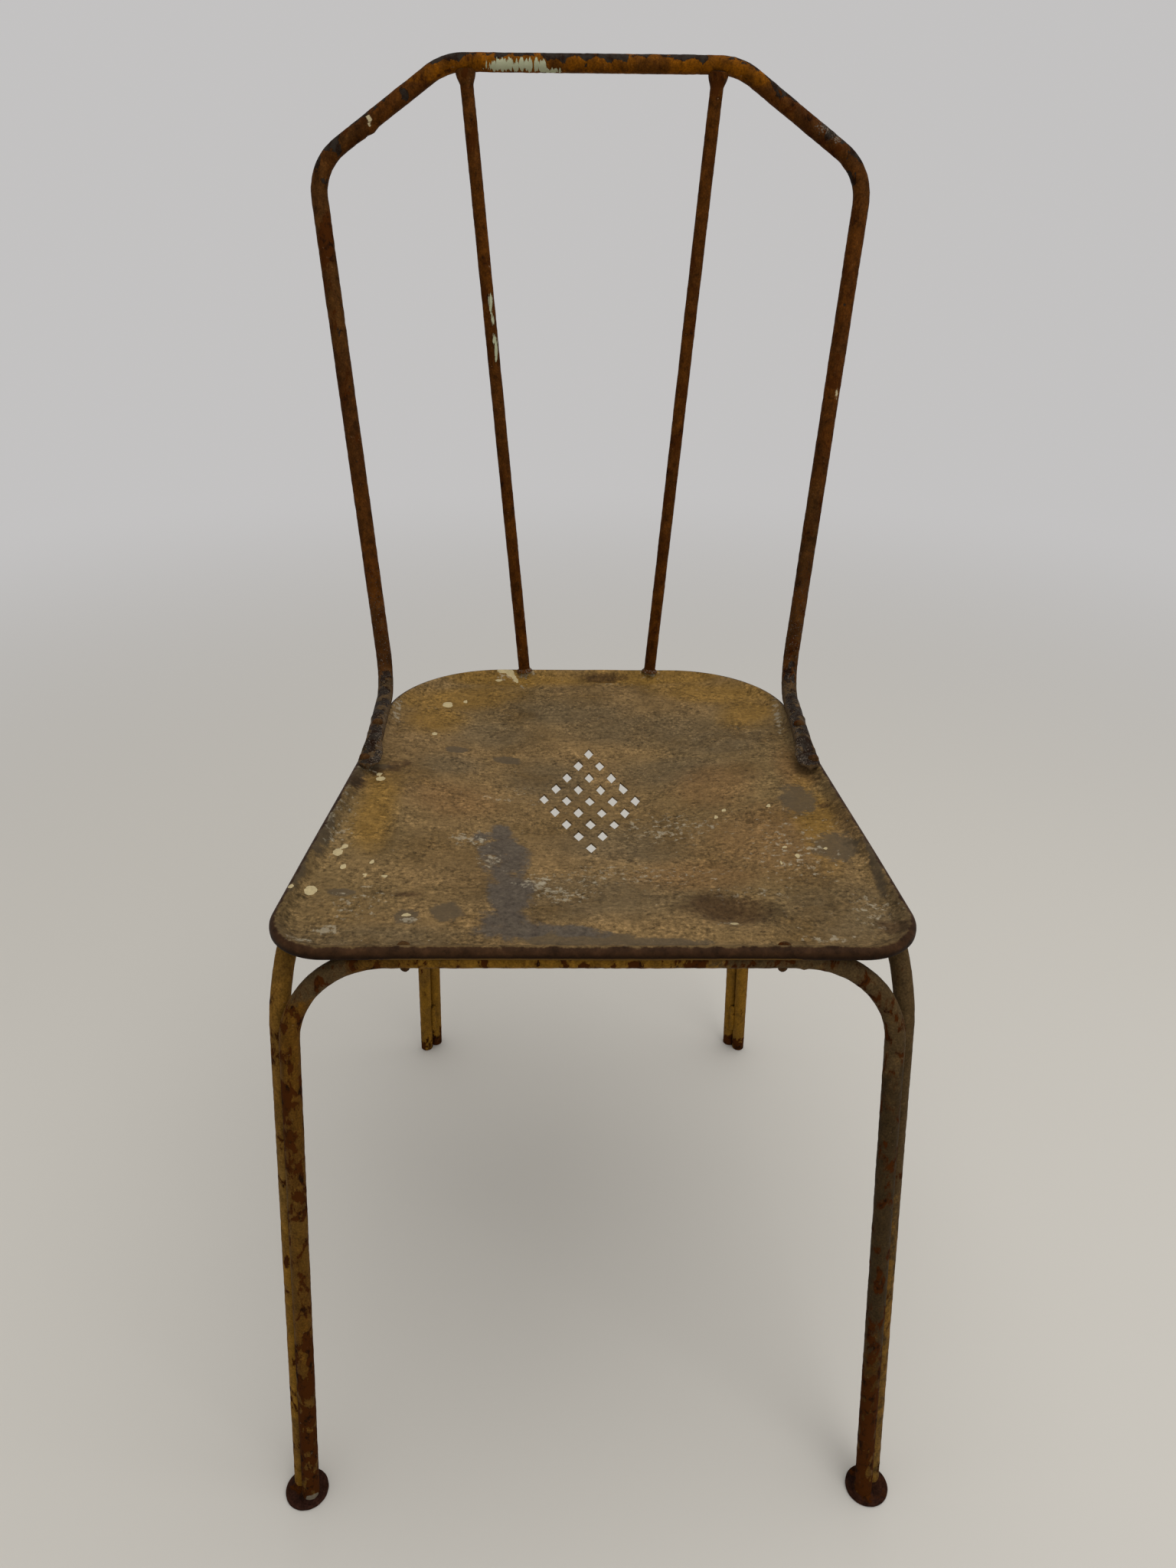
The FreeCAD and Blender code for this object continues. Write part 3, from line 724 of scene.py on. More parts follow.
def flatten_end(mesh):
    for vert in mesh.verts:
        x, y, z = vert.co / MM
        if y > PAD_ROUND or z > HOOP_AXIS + PAD_CLEAR:
            continue
        flat = soft_step(y, PAD_ROUND, PAD_FLAT)
        nose = math.sqrt(max(NOSE_LEAST, 1 - max(0.0, (PAD_NOSE + NOSE_LENGTH - y) / NOSE_LENGTH) ** 2))
        middle_x = math.copysign(PAD_X, x)
        wide = (1 + flat * (PAD_HALF_WIDTH / HALF_TUBE - 1)) * nose
        high = 1 + flat * (PAD_HALF_HEIGHT / HALF_TUBE - 1)
        middle_z = HOOP_AXIS + flat * (PAD_MIDDLE - HOOP_AXIS)
        vert.co = Vector((middle_x + (x - middle_x) * wide, y, middle_z + (z - HOOP_AXIS) * high)) * MM


def close_ends(mesh):
    for loop in separate_loops([edge for edge in mesh.edges if edge.is_boundary]):
        bmesh.ops.contextual_create(mesh, geom=loop)


hoop_mesh = bent_tube(hoop_points(), BACK_BENDS + BACK_BENDS[::-1], TUBE_RADIUS)
flatten_end(hoop_mesh)
roughen(hoop_mesh, 0.14, 0.2, SHOULDER_LUMPS + PAD_LUMPS)
close_ends(hoop_mesh)
print("back hoop:", len(hoop_mesh.verts), "vertices")

# %% [markdown]
# ## Wear on the back hoop
# Hands have worn the rail: burnt ochre in front, slate chips along its top, and a smear of old sage
# green near the left rod. The lower ends are grey and crusted where water stands on the seat.

# %% Back hoop's marks
HOOP_MARKS = {
    "sage": [((x, 205, 896), (6, 6, 5)) for x in (-70, -65, -60, -55, -50, -44, -38)]
    + [((x, 208, 893.5), (6, 5, 2.5)) for x in (-32, -26)],
    "pale": [((186.5, 169.5, 687), (2.5, 5, 7)), ((-156, 203, 863), (1.3, 4, 5))],
    "crust": [((163.5, 203, 861.5), (5, 4, 3)), ((173.5, 202, 855.5), (4, 4, 3))],
    "slate": [((x, 207, 903), (radius, 8, 3.5)) for x, radius in (
        (-62, 4), (-28, 5), (-18, 6), (-3, 3), (12, 6), (20, 4), (63, 4), (76, 3), (-95, 8), (-110, 8))]
    + [((-3, 204, 899), (3, 5, 2.5)), ((-131, 205, 879), (4, 6, 4)), ((131.5, 206, 880), (2, 4, 2)),
       ((167, 201, 856.5), (6, 5, 3)), ((184, 203, 845), (4, 6, 5)), ((-181, 205, 846), (10, 8, 6)),
       ((-195, 202, 827), (6, 8, 14)), ((189, 205, 834), (6, 9, 10))],
    "rust": [((-190, 190, 786), (7, 8, 22)), ((181, 163, 593), (7, 8, 26)), ((-188, 190, 720), (6, 8, 12)),
             ((-167, 143, 507), (2.5, 4, 2.5)), ((174, 200, 849), (3, 5, 2))],
    "grime": [((x, y, 465), (wide, long, 9)) for x, y, wide, long in (
        (-160, 12, 5, 3), (-165, 26, 3, 6), (-156, 38, 3, 3), (-162, 52, 4, 4), (-164, 76, 3, 9),
        (162, 11, 5, 3), (165, 24, 3, 5), (157, 36, 3, 4), (162, 50, 4, 4), (165, 70, 3, 9))],
}


def hoop_crust(place):
    """A little crust low on the sides, more on the inner faces of the pads."""
    pad = soft_step(place.y, 135, 100) * soft_step(place.z, 485, 470)
    return max(0.25 * soft_step(place.z, 620, 500), 0.6 * pad * soft_step(PAD_X + 1 - abs(place.x), 0, 5))


for mark_name, mark_spots in HOOP_MARKS.items():
    paint(hoop_mesh, mark_name, mark_spots)
paint_where(hoop_mesh, "fresh", lambda place: soft_step(place.z, 880, 894))
paint_where(hoop_mesh, "grey", lambda place: soft_step(place.y, 160, 100) * soft_step(place.z, 500, 470))
paint_where(hoop_mesh, "crust", hoop_crust)
keep(hoop_mesh, "back_hoop_tube", hoop_paint, ["back_hoop"])

# %% [markdown]
# ## Back rods and their welds
# Two rods fan out from the seat's rear edge to the rail. Each melts into the rail in a flared collar
# of weld and stands on the seat in a low fillet. Both welds are profiles spun about the rod's line,
# which keeps them round and seated whatever way the rod leans.

# %% Rods
ROD_SINK = 4.5 * MM
rod_foot = Vector((53.5, 188.5, 455.2)) * MM
rod_top = Vector((88.8, back_y(RAIL_HEIGHT), RAIL_HEIGHT)) * MM
rod_line = (rod_top - rod_foot).normalized()
right_rod_mesh = bent_tube([rod_foot, rod_top - rod_line * ROD_SINK], [], HALF_ROD * MM)
roughen(right_rod_mesh, 0.12, 0.16)
close_ends(right_rod_mesh)
left_rod_mesh = mirror_mesh(right_rod_mesh)
paint(left_rod_mesh, "sage", [((-71, 196, 711), (2.8, 4, 6)), ((-71.6, 196, 722), (2.8, 4, 9)),
                              ((-72.6, 197, 736), (2.4, 4, 9)), ((-74, 198, 748), (1.8, 4, 7))])
keep(right_rod_mesh, "right_rod_bar", rod_paint, ["right_back_rod"])
keep(left_rod_mesh, "left_rod_bar", rod_paint, ["left_back_rod"])

# %% Welds of the rods
COLLAR = ((4.5, 15.5), (4.9, 13.4), (5.7, 11.4), (6.5, 9.4), (7.1, 7.2), (7.3, 4.6), (5.0, 4.0))
FILLET = ((6.7, -0.1), (6.4, 0.5), (5.6, 1.2), (5.0, 1.9), (4.6, 2.6))
SPUN_WELD_GAP = 0.02 * MM


def spun(profile, base, axis, steps=28):
    """A profile of (radius, distance along the axis) in millimetres, spun once round the axis."""
    mesh = bmesh.new()
    side = axis.orthogonal().normalized()
    verts = [bmesh.ops.create_vert(mesh, co=base + (side * radius + axis * rise) * MM)["vert"][0]
             for radius, rise in profile]
    line = [bmesh.ops.contextual_create(mesh, geom=pair)["edges"][0] for pair in zip(verts, verts[1:])]
    bmesh.ops.spin(mesh, geom=line, cent=base, axis=axis, angle=math.tau, steps=steps, use_merge=True)
    bmesh.ops.remove_doubles(mesh, verts=mesh.verts, dist=SPUN_WELD_GAP)
    return mesh


def add_to(mesh, other):
    data = bpy.data.meshes.new("part")
    other.to_mesh(data)
    other.free()
    mesh.from_mesh(data)
    bpy.data.meshes.remove(data)


def pair_of(mesh):
    add_to(mesh, mirror_mesh(mesh))
    return mesh


collar = spun(COLLAR, rod_top, -rod_line)
roughen(collar, 0.2, 0.25)
keep(pair_of(collar), "rod_collars", hoop_paint, ["rod_top_welds"])
fillet = spun(FILLET, rod_foot, rod_line)
roughen(fillet, 0.2, 0.3)
paint_where(fillet, "crust", lambda place: 0.6)
keep(pair_of(fillet), "rod_fillets", rod_paint, ["rod_foot_welds"])

# %% [markdown]
# ## Rivets
# Each rivet is one turned profile: a low dome above the sheet, a shank, and a smaller hammered dome
# below the bar. Spinning a profile gives all three at once, and a little roughness hides that eight
# rivets come from the same line.

# %% Rivets
UP = Vector((0, 0, 1))
TAIL_BASE = 436.6
HEAD_DOME, TAIL_DOME, SHANK_RADIUS = (4.1, 3.3), (3.3, 4.0), 2
RIVET_STEPS = 20


def dome(radius, height, base, side):
    return [(radius * cosine, base + side * height * sine)
            for cosine, sine in map(turned, range(0, 91, 15))]


def rivet(x, y, head_base):
    shank = [(SHANK_RADIUS, head_base), (SHANK_RADIUS, TAIL_BASE)]
    profile = dome(*HEAD_DOME, head_base, 1)[::-1] + shank + dome(*TAIL_DOME, TAIL_BASE, -1)
    mesh = spun(profile, Vector((x, y, 0)) * MM, UP, RIVET_STEPS)
    roughen(mesh, 0.1, 0.25)
    return mesh


rivet_paint = tube_finish("rivet paint", (0.060, 0.030, 0.010), (0.045, 0.020, 0.006),
                          (0.022, 0.009, 0.003), rust=0.03)
for kind, node, places in (("front", "front_rivets", [(106.5, -203, 448.7)]),
                           ("side", "side_rivets", [(166.0, -35, 448.7)]),
                           ("hoop", "back_hoop_rivets", [(161.6, 13, 458.9), (158.3, 57, 466.4)])):
    rivets = bmesh.new()
    for place in places:
        add_to(rivets, pair_of(rivet(*place)))
    keep(rivets, f"{kind}_rivet_set", rivet_paint, [node])

# %% [markdown]
# ## Weld beads
# Two beads join the tubes of each leg, in the groove on the inner side. A bead is turned as well,
# with round ends and ripples along it like the stops of the welder's hand.

# %% Weld beads
BEAD_RADIUS, BEAD_LENGTH, RIPPLE, RIPPLE_SHARE = 2.95, 30.0, 3.1, 0.05
BEAD_POINTS = [half / 2 for half in range(-6, 67)]
BEAD_HEIGHTS, BEAD_STEPS = (345, 30), 16
GROOVE_DEPTH = 0.85


def bead_radius(along):
    beyond = max(0.0, -along, along - BEAD_LENGTH) / BEAD_RADIUS
    ripple = 1 - RIPPLE_SHARE + RIPPLE_SHARE * math.sin(math.tau * along / RIPPLE)
    return BEAD_RADIUS * math.sqrt(max(0.0, 1 - beyond * beyond)) * ripple


def leg_beads(lower_end, corner, step):
    axis = (corner - lower_end).normalized()
    inward = step.cross(axis).normalized()
    inward *= -1 if inward.x > 0 else 1
    groove = lower_end + step / 2 + inward * TUBE_RADIUS * GROOVE_DEPTH
    mesh = bmesh.new()
    for height in BEAD_HEIGHTS:
        bead = spun([(bead_radius(along), along) for along in BEAD_POINTS],
                    groove + axis * (height * MM / axis.z), axis, BEAD_STEPS)
        roughen(bead, 0.1, 0.25)
        add_to(mesh, bead)
    return mesh


for pair, lower_end, corner, step in (("front", front_foot, front_corner, front_step),
                                      ("rear", side_rear_foot, side_rear_corner, rear_step)):
    beads = leg_beads(lower_end, corner, step)
    left_beads = mirror_mesh(beads)
    for side, bead_mesh in (("right", beads), ("left", left_beads)):
        if pair == "rear":
            paint_where(bead_mesh, "fresh", lambda place: 1.0)
        keep(bead_mesh, f"{side}_{pair}_beads", leg_paint, [f"{side}_{pair}_leg_welds"])

# %% [markdown]
# ## Feet
# The front legs stand on thin round discs, inside a fillet of weld around each tube. The disc is a
# spun profile with worn edges, and whatever its roughness pushed below the floor is put back on it.

# %% Feet
DISC = ((0, 0), (14.5, 0), (14.9, 0.4), (14.9, 2.0), (14.6, 2.6), (13.9, 2.95), (12, 3.0), (9, 2.9), (0, 2.9))
FOOT_FILLET = ((7.9, 0.0), (7.6, 0.6), (6.9, 1.2), (6.3, 1.8), (5.9, 2.3))
DISC_STEPS = 48

disc = spun(DISC, (front_foot + side_front_foot) / 2, UP, DISC_STEPS)
roughen(disc, 0.05, 0.12)
for vert in disc.verts:
    vert.co.z = max(0.0, vert.co.z)
weld = bmesh.new()
for foot, corner in ((front_foot, front_corner), (side_front_foot, side_front_corner)):
    axis = (corner - foot).normalized()
    add_to(weld, spun(FOOT_FILLET, foot + axis * (DISC_TOP / axis.z), UP))
roughen(weld, 0.15, 0.3)
left_disc, left_weld = mirror_mesh(disc), mirror_mesh(weld)
for side, disc_mesh, weld_mesh in (("right", disc, weld), ("left", left_disc, left_weld)):
    keep(disc_mesh, f"{side}_disc", disc_paint, [f"{side}_foot_disc"])
    keep(weld_mesh, f"{side}_foot_fillet", disc_paint, [f"{side}_foot_weld"])

# %% [markdown]
# ## Outline of the pressed seat
# The seat is one sheet with a rolled rim, wider in front than behind and with rounder corners at the
# rear. Its edge is described from outside in: the same outline is drawn at each inset of the rim's
# section, so the rim keeps its width round every corner.

# %% Seat outline and section
SEAT_TOP, FIELD_DROP, DISH_DEPTH, SHEET = 455.0, 5.5, 13.0, 1.5
SEAT_FRONT, SEAT_REAR = -214.5, 194.5
SEAT_MIDDLE = (SEAT_FRONT + SEAT_REAR) / 2
FRONT_HALF, REAR_HALF = 189.0, 153.5
FRONT_ROUND, REAR_ROUND = 36.0, 90.0
SIDE_SLOPE = (FRONT_HALF - REAR_HALF) / (SEAT_REAR - SEAT_FRONT)
CORNER_STEPS, ROLL_RADIUS = 24, 4
RIM = [(16, 5.5), (14, 5.3), (12, 4.8), (10, 3.9), (8.5, 2.8), (7, 1.6), (6, 0.8), (5, 0.2), (4, 0)]
ROLL = [(ROLL_RADIUS * (1 - sine), ROLL_RADIUS * (1 - cosine))
        for cosine, sine in map(turned, range(15, 91, 15))]
LIP = [(0, 5.2), (0.1, 6.2), (0.7, 7.0), (1.6, 7.4)]
SECTION = RIM + ROLL + LIP


def seat_outline(inset):
    """(angle, x, y) of points around the seat, moved inwards, measured from the seat's middle."""
    slant, lean = math.hypot(1, SIDE_SLOPE), math.atan(SIDE_SLOPE)
    right = []
    for y, towards, rounding, start, end in ((SEAT_FRONT, 1, FRONT_ROUND, -math.pi / 2, lean),
                                             (SEAT_REAR, -1, REAR_ROUND, lean, math.pi / 2)):
        centre_y = y + towards * rounding
        centre_x = FRONT_HALF - SIDE_SLOPE * (centre_y - SEAT_FRONT) - rounding * slant
        for step in range(CORNER_STEPS + 1):
            angle = start + (end - start) * step / CORNER_STEPS
            right.append((centre_x + (rounding - inset) * math.cos(angle),
                          centre_y + (rounding - inset) * math.sin(angle) - SEAT_MIDDLE))
    points = right + [(-x, y) for x, y in right]
    return sorted((math.atan2(y, x), x, y) for x, y in points)


OUTLINES = {inset: seat_outline(inset) for inset, _ in SECTION}
print("seat outline:", len(OUTLINES[0]), "points at each of", len(OUTLINES), "insets")

# %% [markdown]
# ## Dish and dents
# The sheet's field is pressed into a shallow dish, steeper at its border than in the middle, and use
# has left a few dents. Both are formulas of the place, so they fit any vertex.

# %% Dish and dents
DISH_MARGIN, DISH_HALF_LENGTH, DISH_SQUARENESS = 14, 190.5, 5
DENTS = [(82, -167, 27, 18, -10, 4.6), (14, 181, 17, 7, 0, 2.0), (-18, -150, 30, 16, 10, 0.9)]
DENT_LIP_END, DENT_LIP_SHARE = 1.8, 0.12


def dish_share(x, y):
    """0 in the middle of the dish and 1 at its rounded border; y is measured from the middle."""
    half = FRONT_HALF - SIDE_SLOPE * (y + SEAT_MIDDLE - SEAT_FRONT) - DISH_MARGIN
    total = (abs(x) / half) ** DISH_SQUARENESS + (abs(y) / DISH_HALF_LENGTH) ** DISH_SQUARENESS
    return min(1.0, total ** (1 / DISH_SQUARENESS))


def dent_depth(x, y):
    total = 0.0
    for dent_x, dent_y, long, short, turn, deep in DENTS:
        cosine, sine = turned(turn)
        along = ((x - dent_x) * cosine + (y - dent_y) * sine) / long
        distance = math.hypot(along, ((y - dent_y) * cosine - (x - dent_x) * sine) / short)
        if distance < 1:
            total += deep * (1 - distance * distance) ** 2
        elif distance < DENT_LIP_END:
            total -= DENT_LIP_SHARE * deep * math.sin(math.pi * (distance - 1) / (DENT_LIP_END - 1))
    return total


print("deepest dent, mm:", round(max(dent_depth(x, y) for x, y, *_ in DENTS), 1))

# %% [markdown]
# ## The sheet
# A square grid is drawn out until its outer rings follow the rounded outline, over the rim and down
# the lip. Its even faces take holes and painted marks better than a fan of long triangles. The noise
# that sways its edge starts from a fixed seed, so every run gives the same sheet.

# %% Place of each vertex
GRID_HALF = 95
FIELD_RINGS = GRID_HALF - len(SECTION) + 1


def edge_point(outline, across_share, along_share):
    ray_x = across_share * (FRONT_HALF + REAR_HALF) / 2
    ray_y = along_share * (SEAT_REAR - SEAT_FRONT) / 2
    after = bisect.bisect(outline, (math.atan2(ray_y, ray_x),)) % len(outline)
    (_, x1, y1), (_, x2, y2) = outline[after - 1], outline[after]
    first, second = ray_x * y1 - ray_y * x1, ray_x * y2 - ray_y * x2
    share = first / (first - second) if first != second else 0
    return x1 + (x2 - x1) * share, y1 + (y2 - y1) * share


def field_drop(x, y):
    share = dish_share(x, y)
    spot = Vector((x, y, 0)) * MM
    waves = 0.8 * noise.fractal(spot * 9, 1.0, 2.0, 2) + 0.3 * noise.fractal(spot * 40, 1.0, 2.0, 3)
    return FIELD_DROP + DISH_DEPTH * (1 - share * share) ** 2 + (1 - share ** 4) * waves


def seat_place(across_share, along_share):
    """Place of a grid vertex on the sheet, and how far over the rim it lies, in rings."""
    reach = max(abs(across_share), abs(along_share))
    ring = round(reach * GRID_HALF)
    over = ring - FIELD_RINGS
    x = y = 0.0
    if ring > 0:
        inset = SECTION[max(0, over)][0]
        x, y = edge_point(OUTLINES[inset], across_share / reach, along_share / reach)
    if over <= 0:
        x, y = x * ring / FIELD_RINGS, y * ring / FIELD_RINGS
        drop = field_drop(x, y)
    else:
        drop = SECTION[over][1]
    y += SEAT_MIDDLE
    return Vector((x, y, SEAT_TOP - drop - dent_depth(x, y))), over


# %% Sheet with its edge marks
SWAY_PER_MM, SWAY, SWAY_SEED = 0.011, 0.35, 3


def sheet_grid():
    noise.seed_set(SWAY_SEED)
    mesh = bmesh.new()
    bmesh.ops.create_grid(mesh, x_segments=2 * GRID_HALF, y_segments=2 * GRID_HALF, size=1)
    edge_mark, rim_shade_mark, crease_mark, seam_mark = (
        mesh.verts.layers.float.new(name) for name in ("edge", "rim", "crease", "seam"))
    for vert in mesh.verts:
        place, over = seat_place(vert.co.x, vert.co.y)
        sway = noise.noise_vector(place * SWAY_PER_MM) * SWAY * soft_step(over, -6, 6)
        vert.co = (place + Vector((sway.x, sway.y, 0.4 * sway.z))) * MM
        front_middle = soft_step(abs(place.x), 135, 100) * soft_step(place.y, -150, -180)
        vert[edge_mark] = soft_step(over, 6, 12)
        # rim value: painted shade where the rim rolls over, on the front half of the seat
        vert[rim_shade_mark] = soft_step(over, -4, 8) * soft_step(place.y, 70, -20)
        # painted shade where the lip curls under towards the bar
        vert[crease_mark] = soft_step(over, 12.5, 15)
        vert[seam_mark] = soft_step(over, 15, 16) * front_middle
    return mesh


seat_mesh = sheet_grid()
print("sheet:", len(seat_mesh.faces), "faces")

# %% [markdown]
# ## The lozenge of holes
# Twenty-five small lozenges are punched through the sheet in a larger lozenge. The grid knows nothing
# of them, so the sheet is cut along the four lines of each and the faces inside are taken out. Each
# hole is a little out of true, and one has a torn corner.

# %% Punch the holes
HOLE_ROWS = 5
HOLE_PITCH = (8.1, 17.4)
HOLE_HALF = (4.0, 7.9)
HOLE_REACH = 12 * MM
TORN_HOLE, TORN_TIP, TORN_SIDE = (3, 1), Vector((-1.6, 3.4, 0)), Vector((1.0, 0, 0))
jitter = random.Random(7)


def hole_corners(column, row):
    x_step, y_step = column - row, column + row - HOLE_ROWS + 1
    x, y = x_step * HOLE_PITCH[0], SEAT_MIDDLE + y_step * HOLE_PITCH[1]
    corners = []
    for side_x, side_y in ((0, -1), (1, 0), (0, 1), (-1, 0)):
        corner_x = x + side_x * HOLE_HALF[0] + jitter.uniform(-0.25, 0.25)
        corner_y = y + side_y * HOLE_HALF[1] + jitter.uniform(-0.5, 0.5)
        corners.append(Vector((corner_x, corner_y, SEAT_TOP)))
    if (x_step, y_step) == TORN_HOLE:
        corners[2] += TORN_TIP
        corners[3] += TORN_SIDE
    return [corner * MM for corner in corners]


def punch(mesh, corners):
    centre = sum(corners, Vector()) / 4
    faces = [face for face in mesh.faces
             if (face.calc_center_median().xy - centre.xy).length < HOLE_REACH]
    sides = []
    for start, end in zip(corners, corners[1:] + corners[:1]):
        outwards = (end - start).cross(UP).normalized()
        sides.append((start, outwards))
        parts = dict.fromkeys(part for face in faces for part in (face, *face.edges, *face.verts))
        cut = bmesh.ops.bisect_plane(mesh, geom=list(parts), plane_co=start, plane_no=outwards)
        faces = [part for part in cut["geom"] if isinstance(part, BMFace)]
    inside = [face for face in faces
              if all((face.calc_center_median() - start).dot(outwards) < 0 for start, outwards in sides)]
    bmesh.ops.delete(mesh, geom=inside, context="FACES")


for row in range(HOLE_ROWS):
    for column in range(HOLE_ROWS):
        punch(seat_mesh, hole_corners(column, row))
bmesh.ops.recalc_face_normals(seat_mesh, faces=seat_mesh.faces)
seat_mesh.normal_update()
print("sheet faces up:", sum(face.normal.z > 0 for face in seat_mesh.faces), "of", len(seat_mesh.faces))

# %% [markdown]
# ## Paint on the seat
# The seat is satin brown worn by decades of sitting. Ochre is left in the rear corners, the middle
# has gone grey, and one long patch is rubbed down to slate with a speckled border. The rolled lip is
# nearly black with rust. Painted shade darkens the front roll of the rim, the curl under the lip and
# the dents, and a painted highlight lies in the front dent. Broad fields come first and small spots
# last, the order in which the real paint was laid on and worn off.

# %% Brown field of the seat
SEAT_BROWN, SEAT_OLIVE = (0.162, 0.100, 0.040), (0.138, 0.088, 0.035)
SEAT_FIELDS = {"grey": (0.75, (0.106, 0.074, 0.037)), "orange": (0.7, (0.160, 0.087, 0.032)),
               "ochre": (0.85, (0.194, 0.106, 0.022))}


def seat_field(mix, cloud, streak, mottle, grain):
    """Brown and olive with the marked fields of grey, orange and ochre, smooth here and rough there."""
    wander = mix.drift(cloud, 1.6)
    colour = mix.blend(mix.step(mix.noise(6, 3), 0.40, 0.60), SEAT_BROWN, SEAT_OLIVE)
    for mark, (share, field_colour) in SEAT_FIELDS.items():
        field = mix.step(mix.plus(mix.mark(mark), wander), -0.1, 1.1, 0, share)
        colour = mix.blend(field, colour, field_colour)
    brushed = mix.noise(300, 5, 0.7, stretch=(0.22, 1.1, 1), shift=6.1, twist=0.3)
    for texture, dark, light in ((cloud, 0.80, 1.12), (streak, 0.86, 1.09), (brushed, 0.84, 1.12)):
        colour = mix.mottled(colour, texture, dark, light)
    rough = mix.mottled(mix.mottled(colour, mottle, 0.66, 1.26), grain, 0.42, 1.75)
    smooth = mix.mottled(mix.mottled(colour, mottle, 0.88, 1.10), grain, 0.64, 1.38)
    return mix.blend(mix.step(mix.noise(34, 4, 0.6, shift=3.7), 0.42, 0.58), smooth, rough)


# %% Worn and rubbed patches
SEAT_WORN, SEAT_FLECK, CREAM_SPOT = (0.080, 0.058, 0.034), (0.34, 0.29, 0.20), (0.46, 0.37, 0.20)
SEAT_SLATE = ((0.058, 0.046, 0.036), (0.092, 0.073, 0.053))


def seat_wear(mix, colour, cloud, streak, mottle, grain, specks):
    """Pits, grey worn spots, the slate patch and scuffs with pale flecks."""
    pits = mix.step(mix.noise(260, 3, 0.55, shift=5.5), 0.64, 0.70, 0, 0.6)
    colour = mix.tint(pits, colour, 0.45)
    colour = mix.blend(mix.times(mix.ragged("worn", mottle, 1.6, 0.25, 0.65), 0.8), colour, SEAT_WORN)
    rubbed = mix.plus(mix.plus(mix.mark("slate"), mix.drift(streak, 3.0)), mix.drift(mottle, 1.6))
    slate = mix.times(mix.step(rubbed, 0.2, 0.9, 0, 0.92), mix.step(mix.mark("slate"), 0.0, 0.3))
    slate_tone = mix.mottled(mix.blend(mix.step(mottle, 0.35, 0.65), *SEAT_SLATE), grain, 0.7, 1.3)
    colour = mix.blend(slate, colour, slate_tone)
    scuffed = mix.plus(mix.mark("scuff"), mix.step(cloud, 0.45, 0.7, 0, 0.3))
    fleck = mix.step(mix.plus(specks, mix.times(scuffed, 0.13)), 0.66, 0.78, 0, 0.65)
    return mix.blend(fleck, colour, SEAT_FLECK), pits, slate, fleck


# %% Rust, lip and spots
SEAT_RUST, SEAT_SEAM = (0.062, 0.030, 0.012), (0.100, 0.052, 0.010)
SEAT_LIP = ((0.018, 0.008, 0.004), (0.050, 0.023, 0.009))


def seat_edge(mix, colour, cloud, mottle, grain):
    """Painted shade in the dents and on the rim's front roll, rust, the rusty dark lip with painted shade in
    its curl, and the ochre seam under the lip.
    """
    def near(mark, low, high):
        return mix.ragged(mark, mottle, 1.6, low, high)

    # painted shade in the bowls of the dents
    colour = mix.tint(mix.step(mix.mark("dent"), 0.1, 1.0), colour, 0.62)
    rust_tone = mix.mottled(mix.blend(mottle, SEAT_RUST, SEAT_LIP[0]), grain, 0.7, 1.4)
    colour = mix.blend(mix.times(near("rust", 0.1, 1.0), 0.65), colour, rust_tone)
    # painted shade on the rim's roll over the front half of the seat
    colour = mix.tint(near("rim", 0.35, 0.85), colour, 0.66)
    lip_tone = mix.mottled(mix.blend(cloud, *SEAT_LIP), mottle, 0.6, 1.5)
    colour = mix.blend(near("edge", 0.25, 0.6), colour, lip_tone)
    # painted shade in the curl under the lip, next to the bar
    colour = mix.tint(mix.mark("crease"), colour, 0.4)
    return mix.blend(near("seam", 0.4, 0.6), colour, SEAT_SEAM)


def seat_spots(mix, colour, mottle, grain, specks):
    """Pale scratches made of specks and drops of cream paint; the pale and cream ovals at the front dent are
    a painted highlight.
    """
    pale = mix.step(mix.raised(specks, "pale", 0.17), 0.62, 0.72, 0, 0.55)
    pale = mix.times(pale, mix.step(mix.mark("pale"), 0.02, 0.2))
    colour = mix.blend(pale, colour, SEAT_FLECK)
    cream = mix.ragged("cream", mottle, 0.8, 0.47, 0.53)
    return mix.blend(mix.times(cream, 0.9), colour, mix.mottled(CREAM_SPOT, grain, 0.8, 1.1)), cream


# %% Seat finish
def seat_finish():
    mix = Finish("seat paint", 0.035)
    cloud = mix.noise(22, 5, 0.6, stretch=(0.85, 0.85, 1), shift=2.2)
    streak = mix.noise(48, 7, 0.62, stretch=(0.9, 0.8, 1), shift=4.1, twist=0.3)
    mottle = mix.noise(140, 6, 0.7, stretch=(0.95, 0.9, 1), shift=1.3)
    grain = mix.noise(420, 5, 0.72, stretch=(0.9, 0.9, 1))
    specks = mix.noise(300, 5, 0.68, stretch=(0.75, 0.75, 1), shift=7.7)
    colour = seat_field(mix, cloud, streak, mottle, grain)
    colour, pits, slate, fleck = seat_wear(mix, colour, cloud, streak, mottle, grain, specks)
    colour = seat_edge(mix, colour, cloud, mottle, grain)
    colour, cream = seat_spots(mix, colour, mottle, grain, specks)
    height = layered_height(mix, mix.plus(mix.times(mottle, 0.6), mix.times(grain, 0.35)), (
        (fleck, 0.15), (slate, -0.3), (cream, 0.4), (pits, -0.5)))
    return mix.finish(colour, mix.blend(mottle, (0.40,) * 3, (0.62,) * 3), height, 0.3 * MM)


seat_paint = seat_finish()
print("seat finish:", len(seat_paint.node_tree.nodes), "nodes")
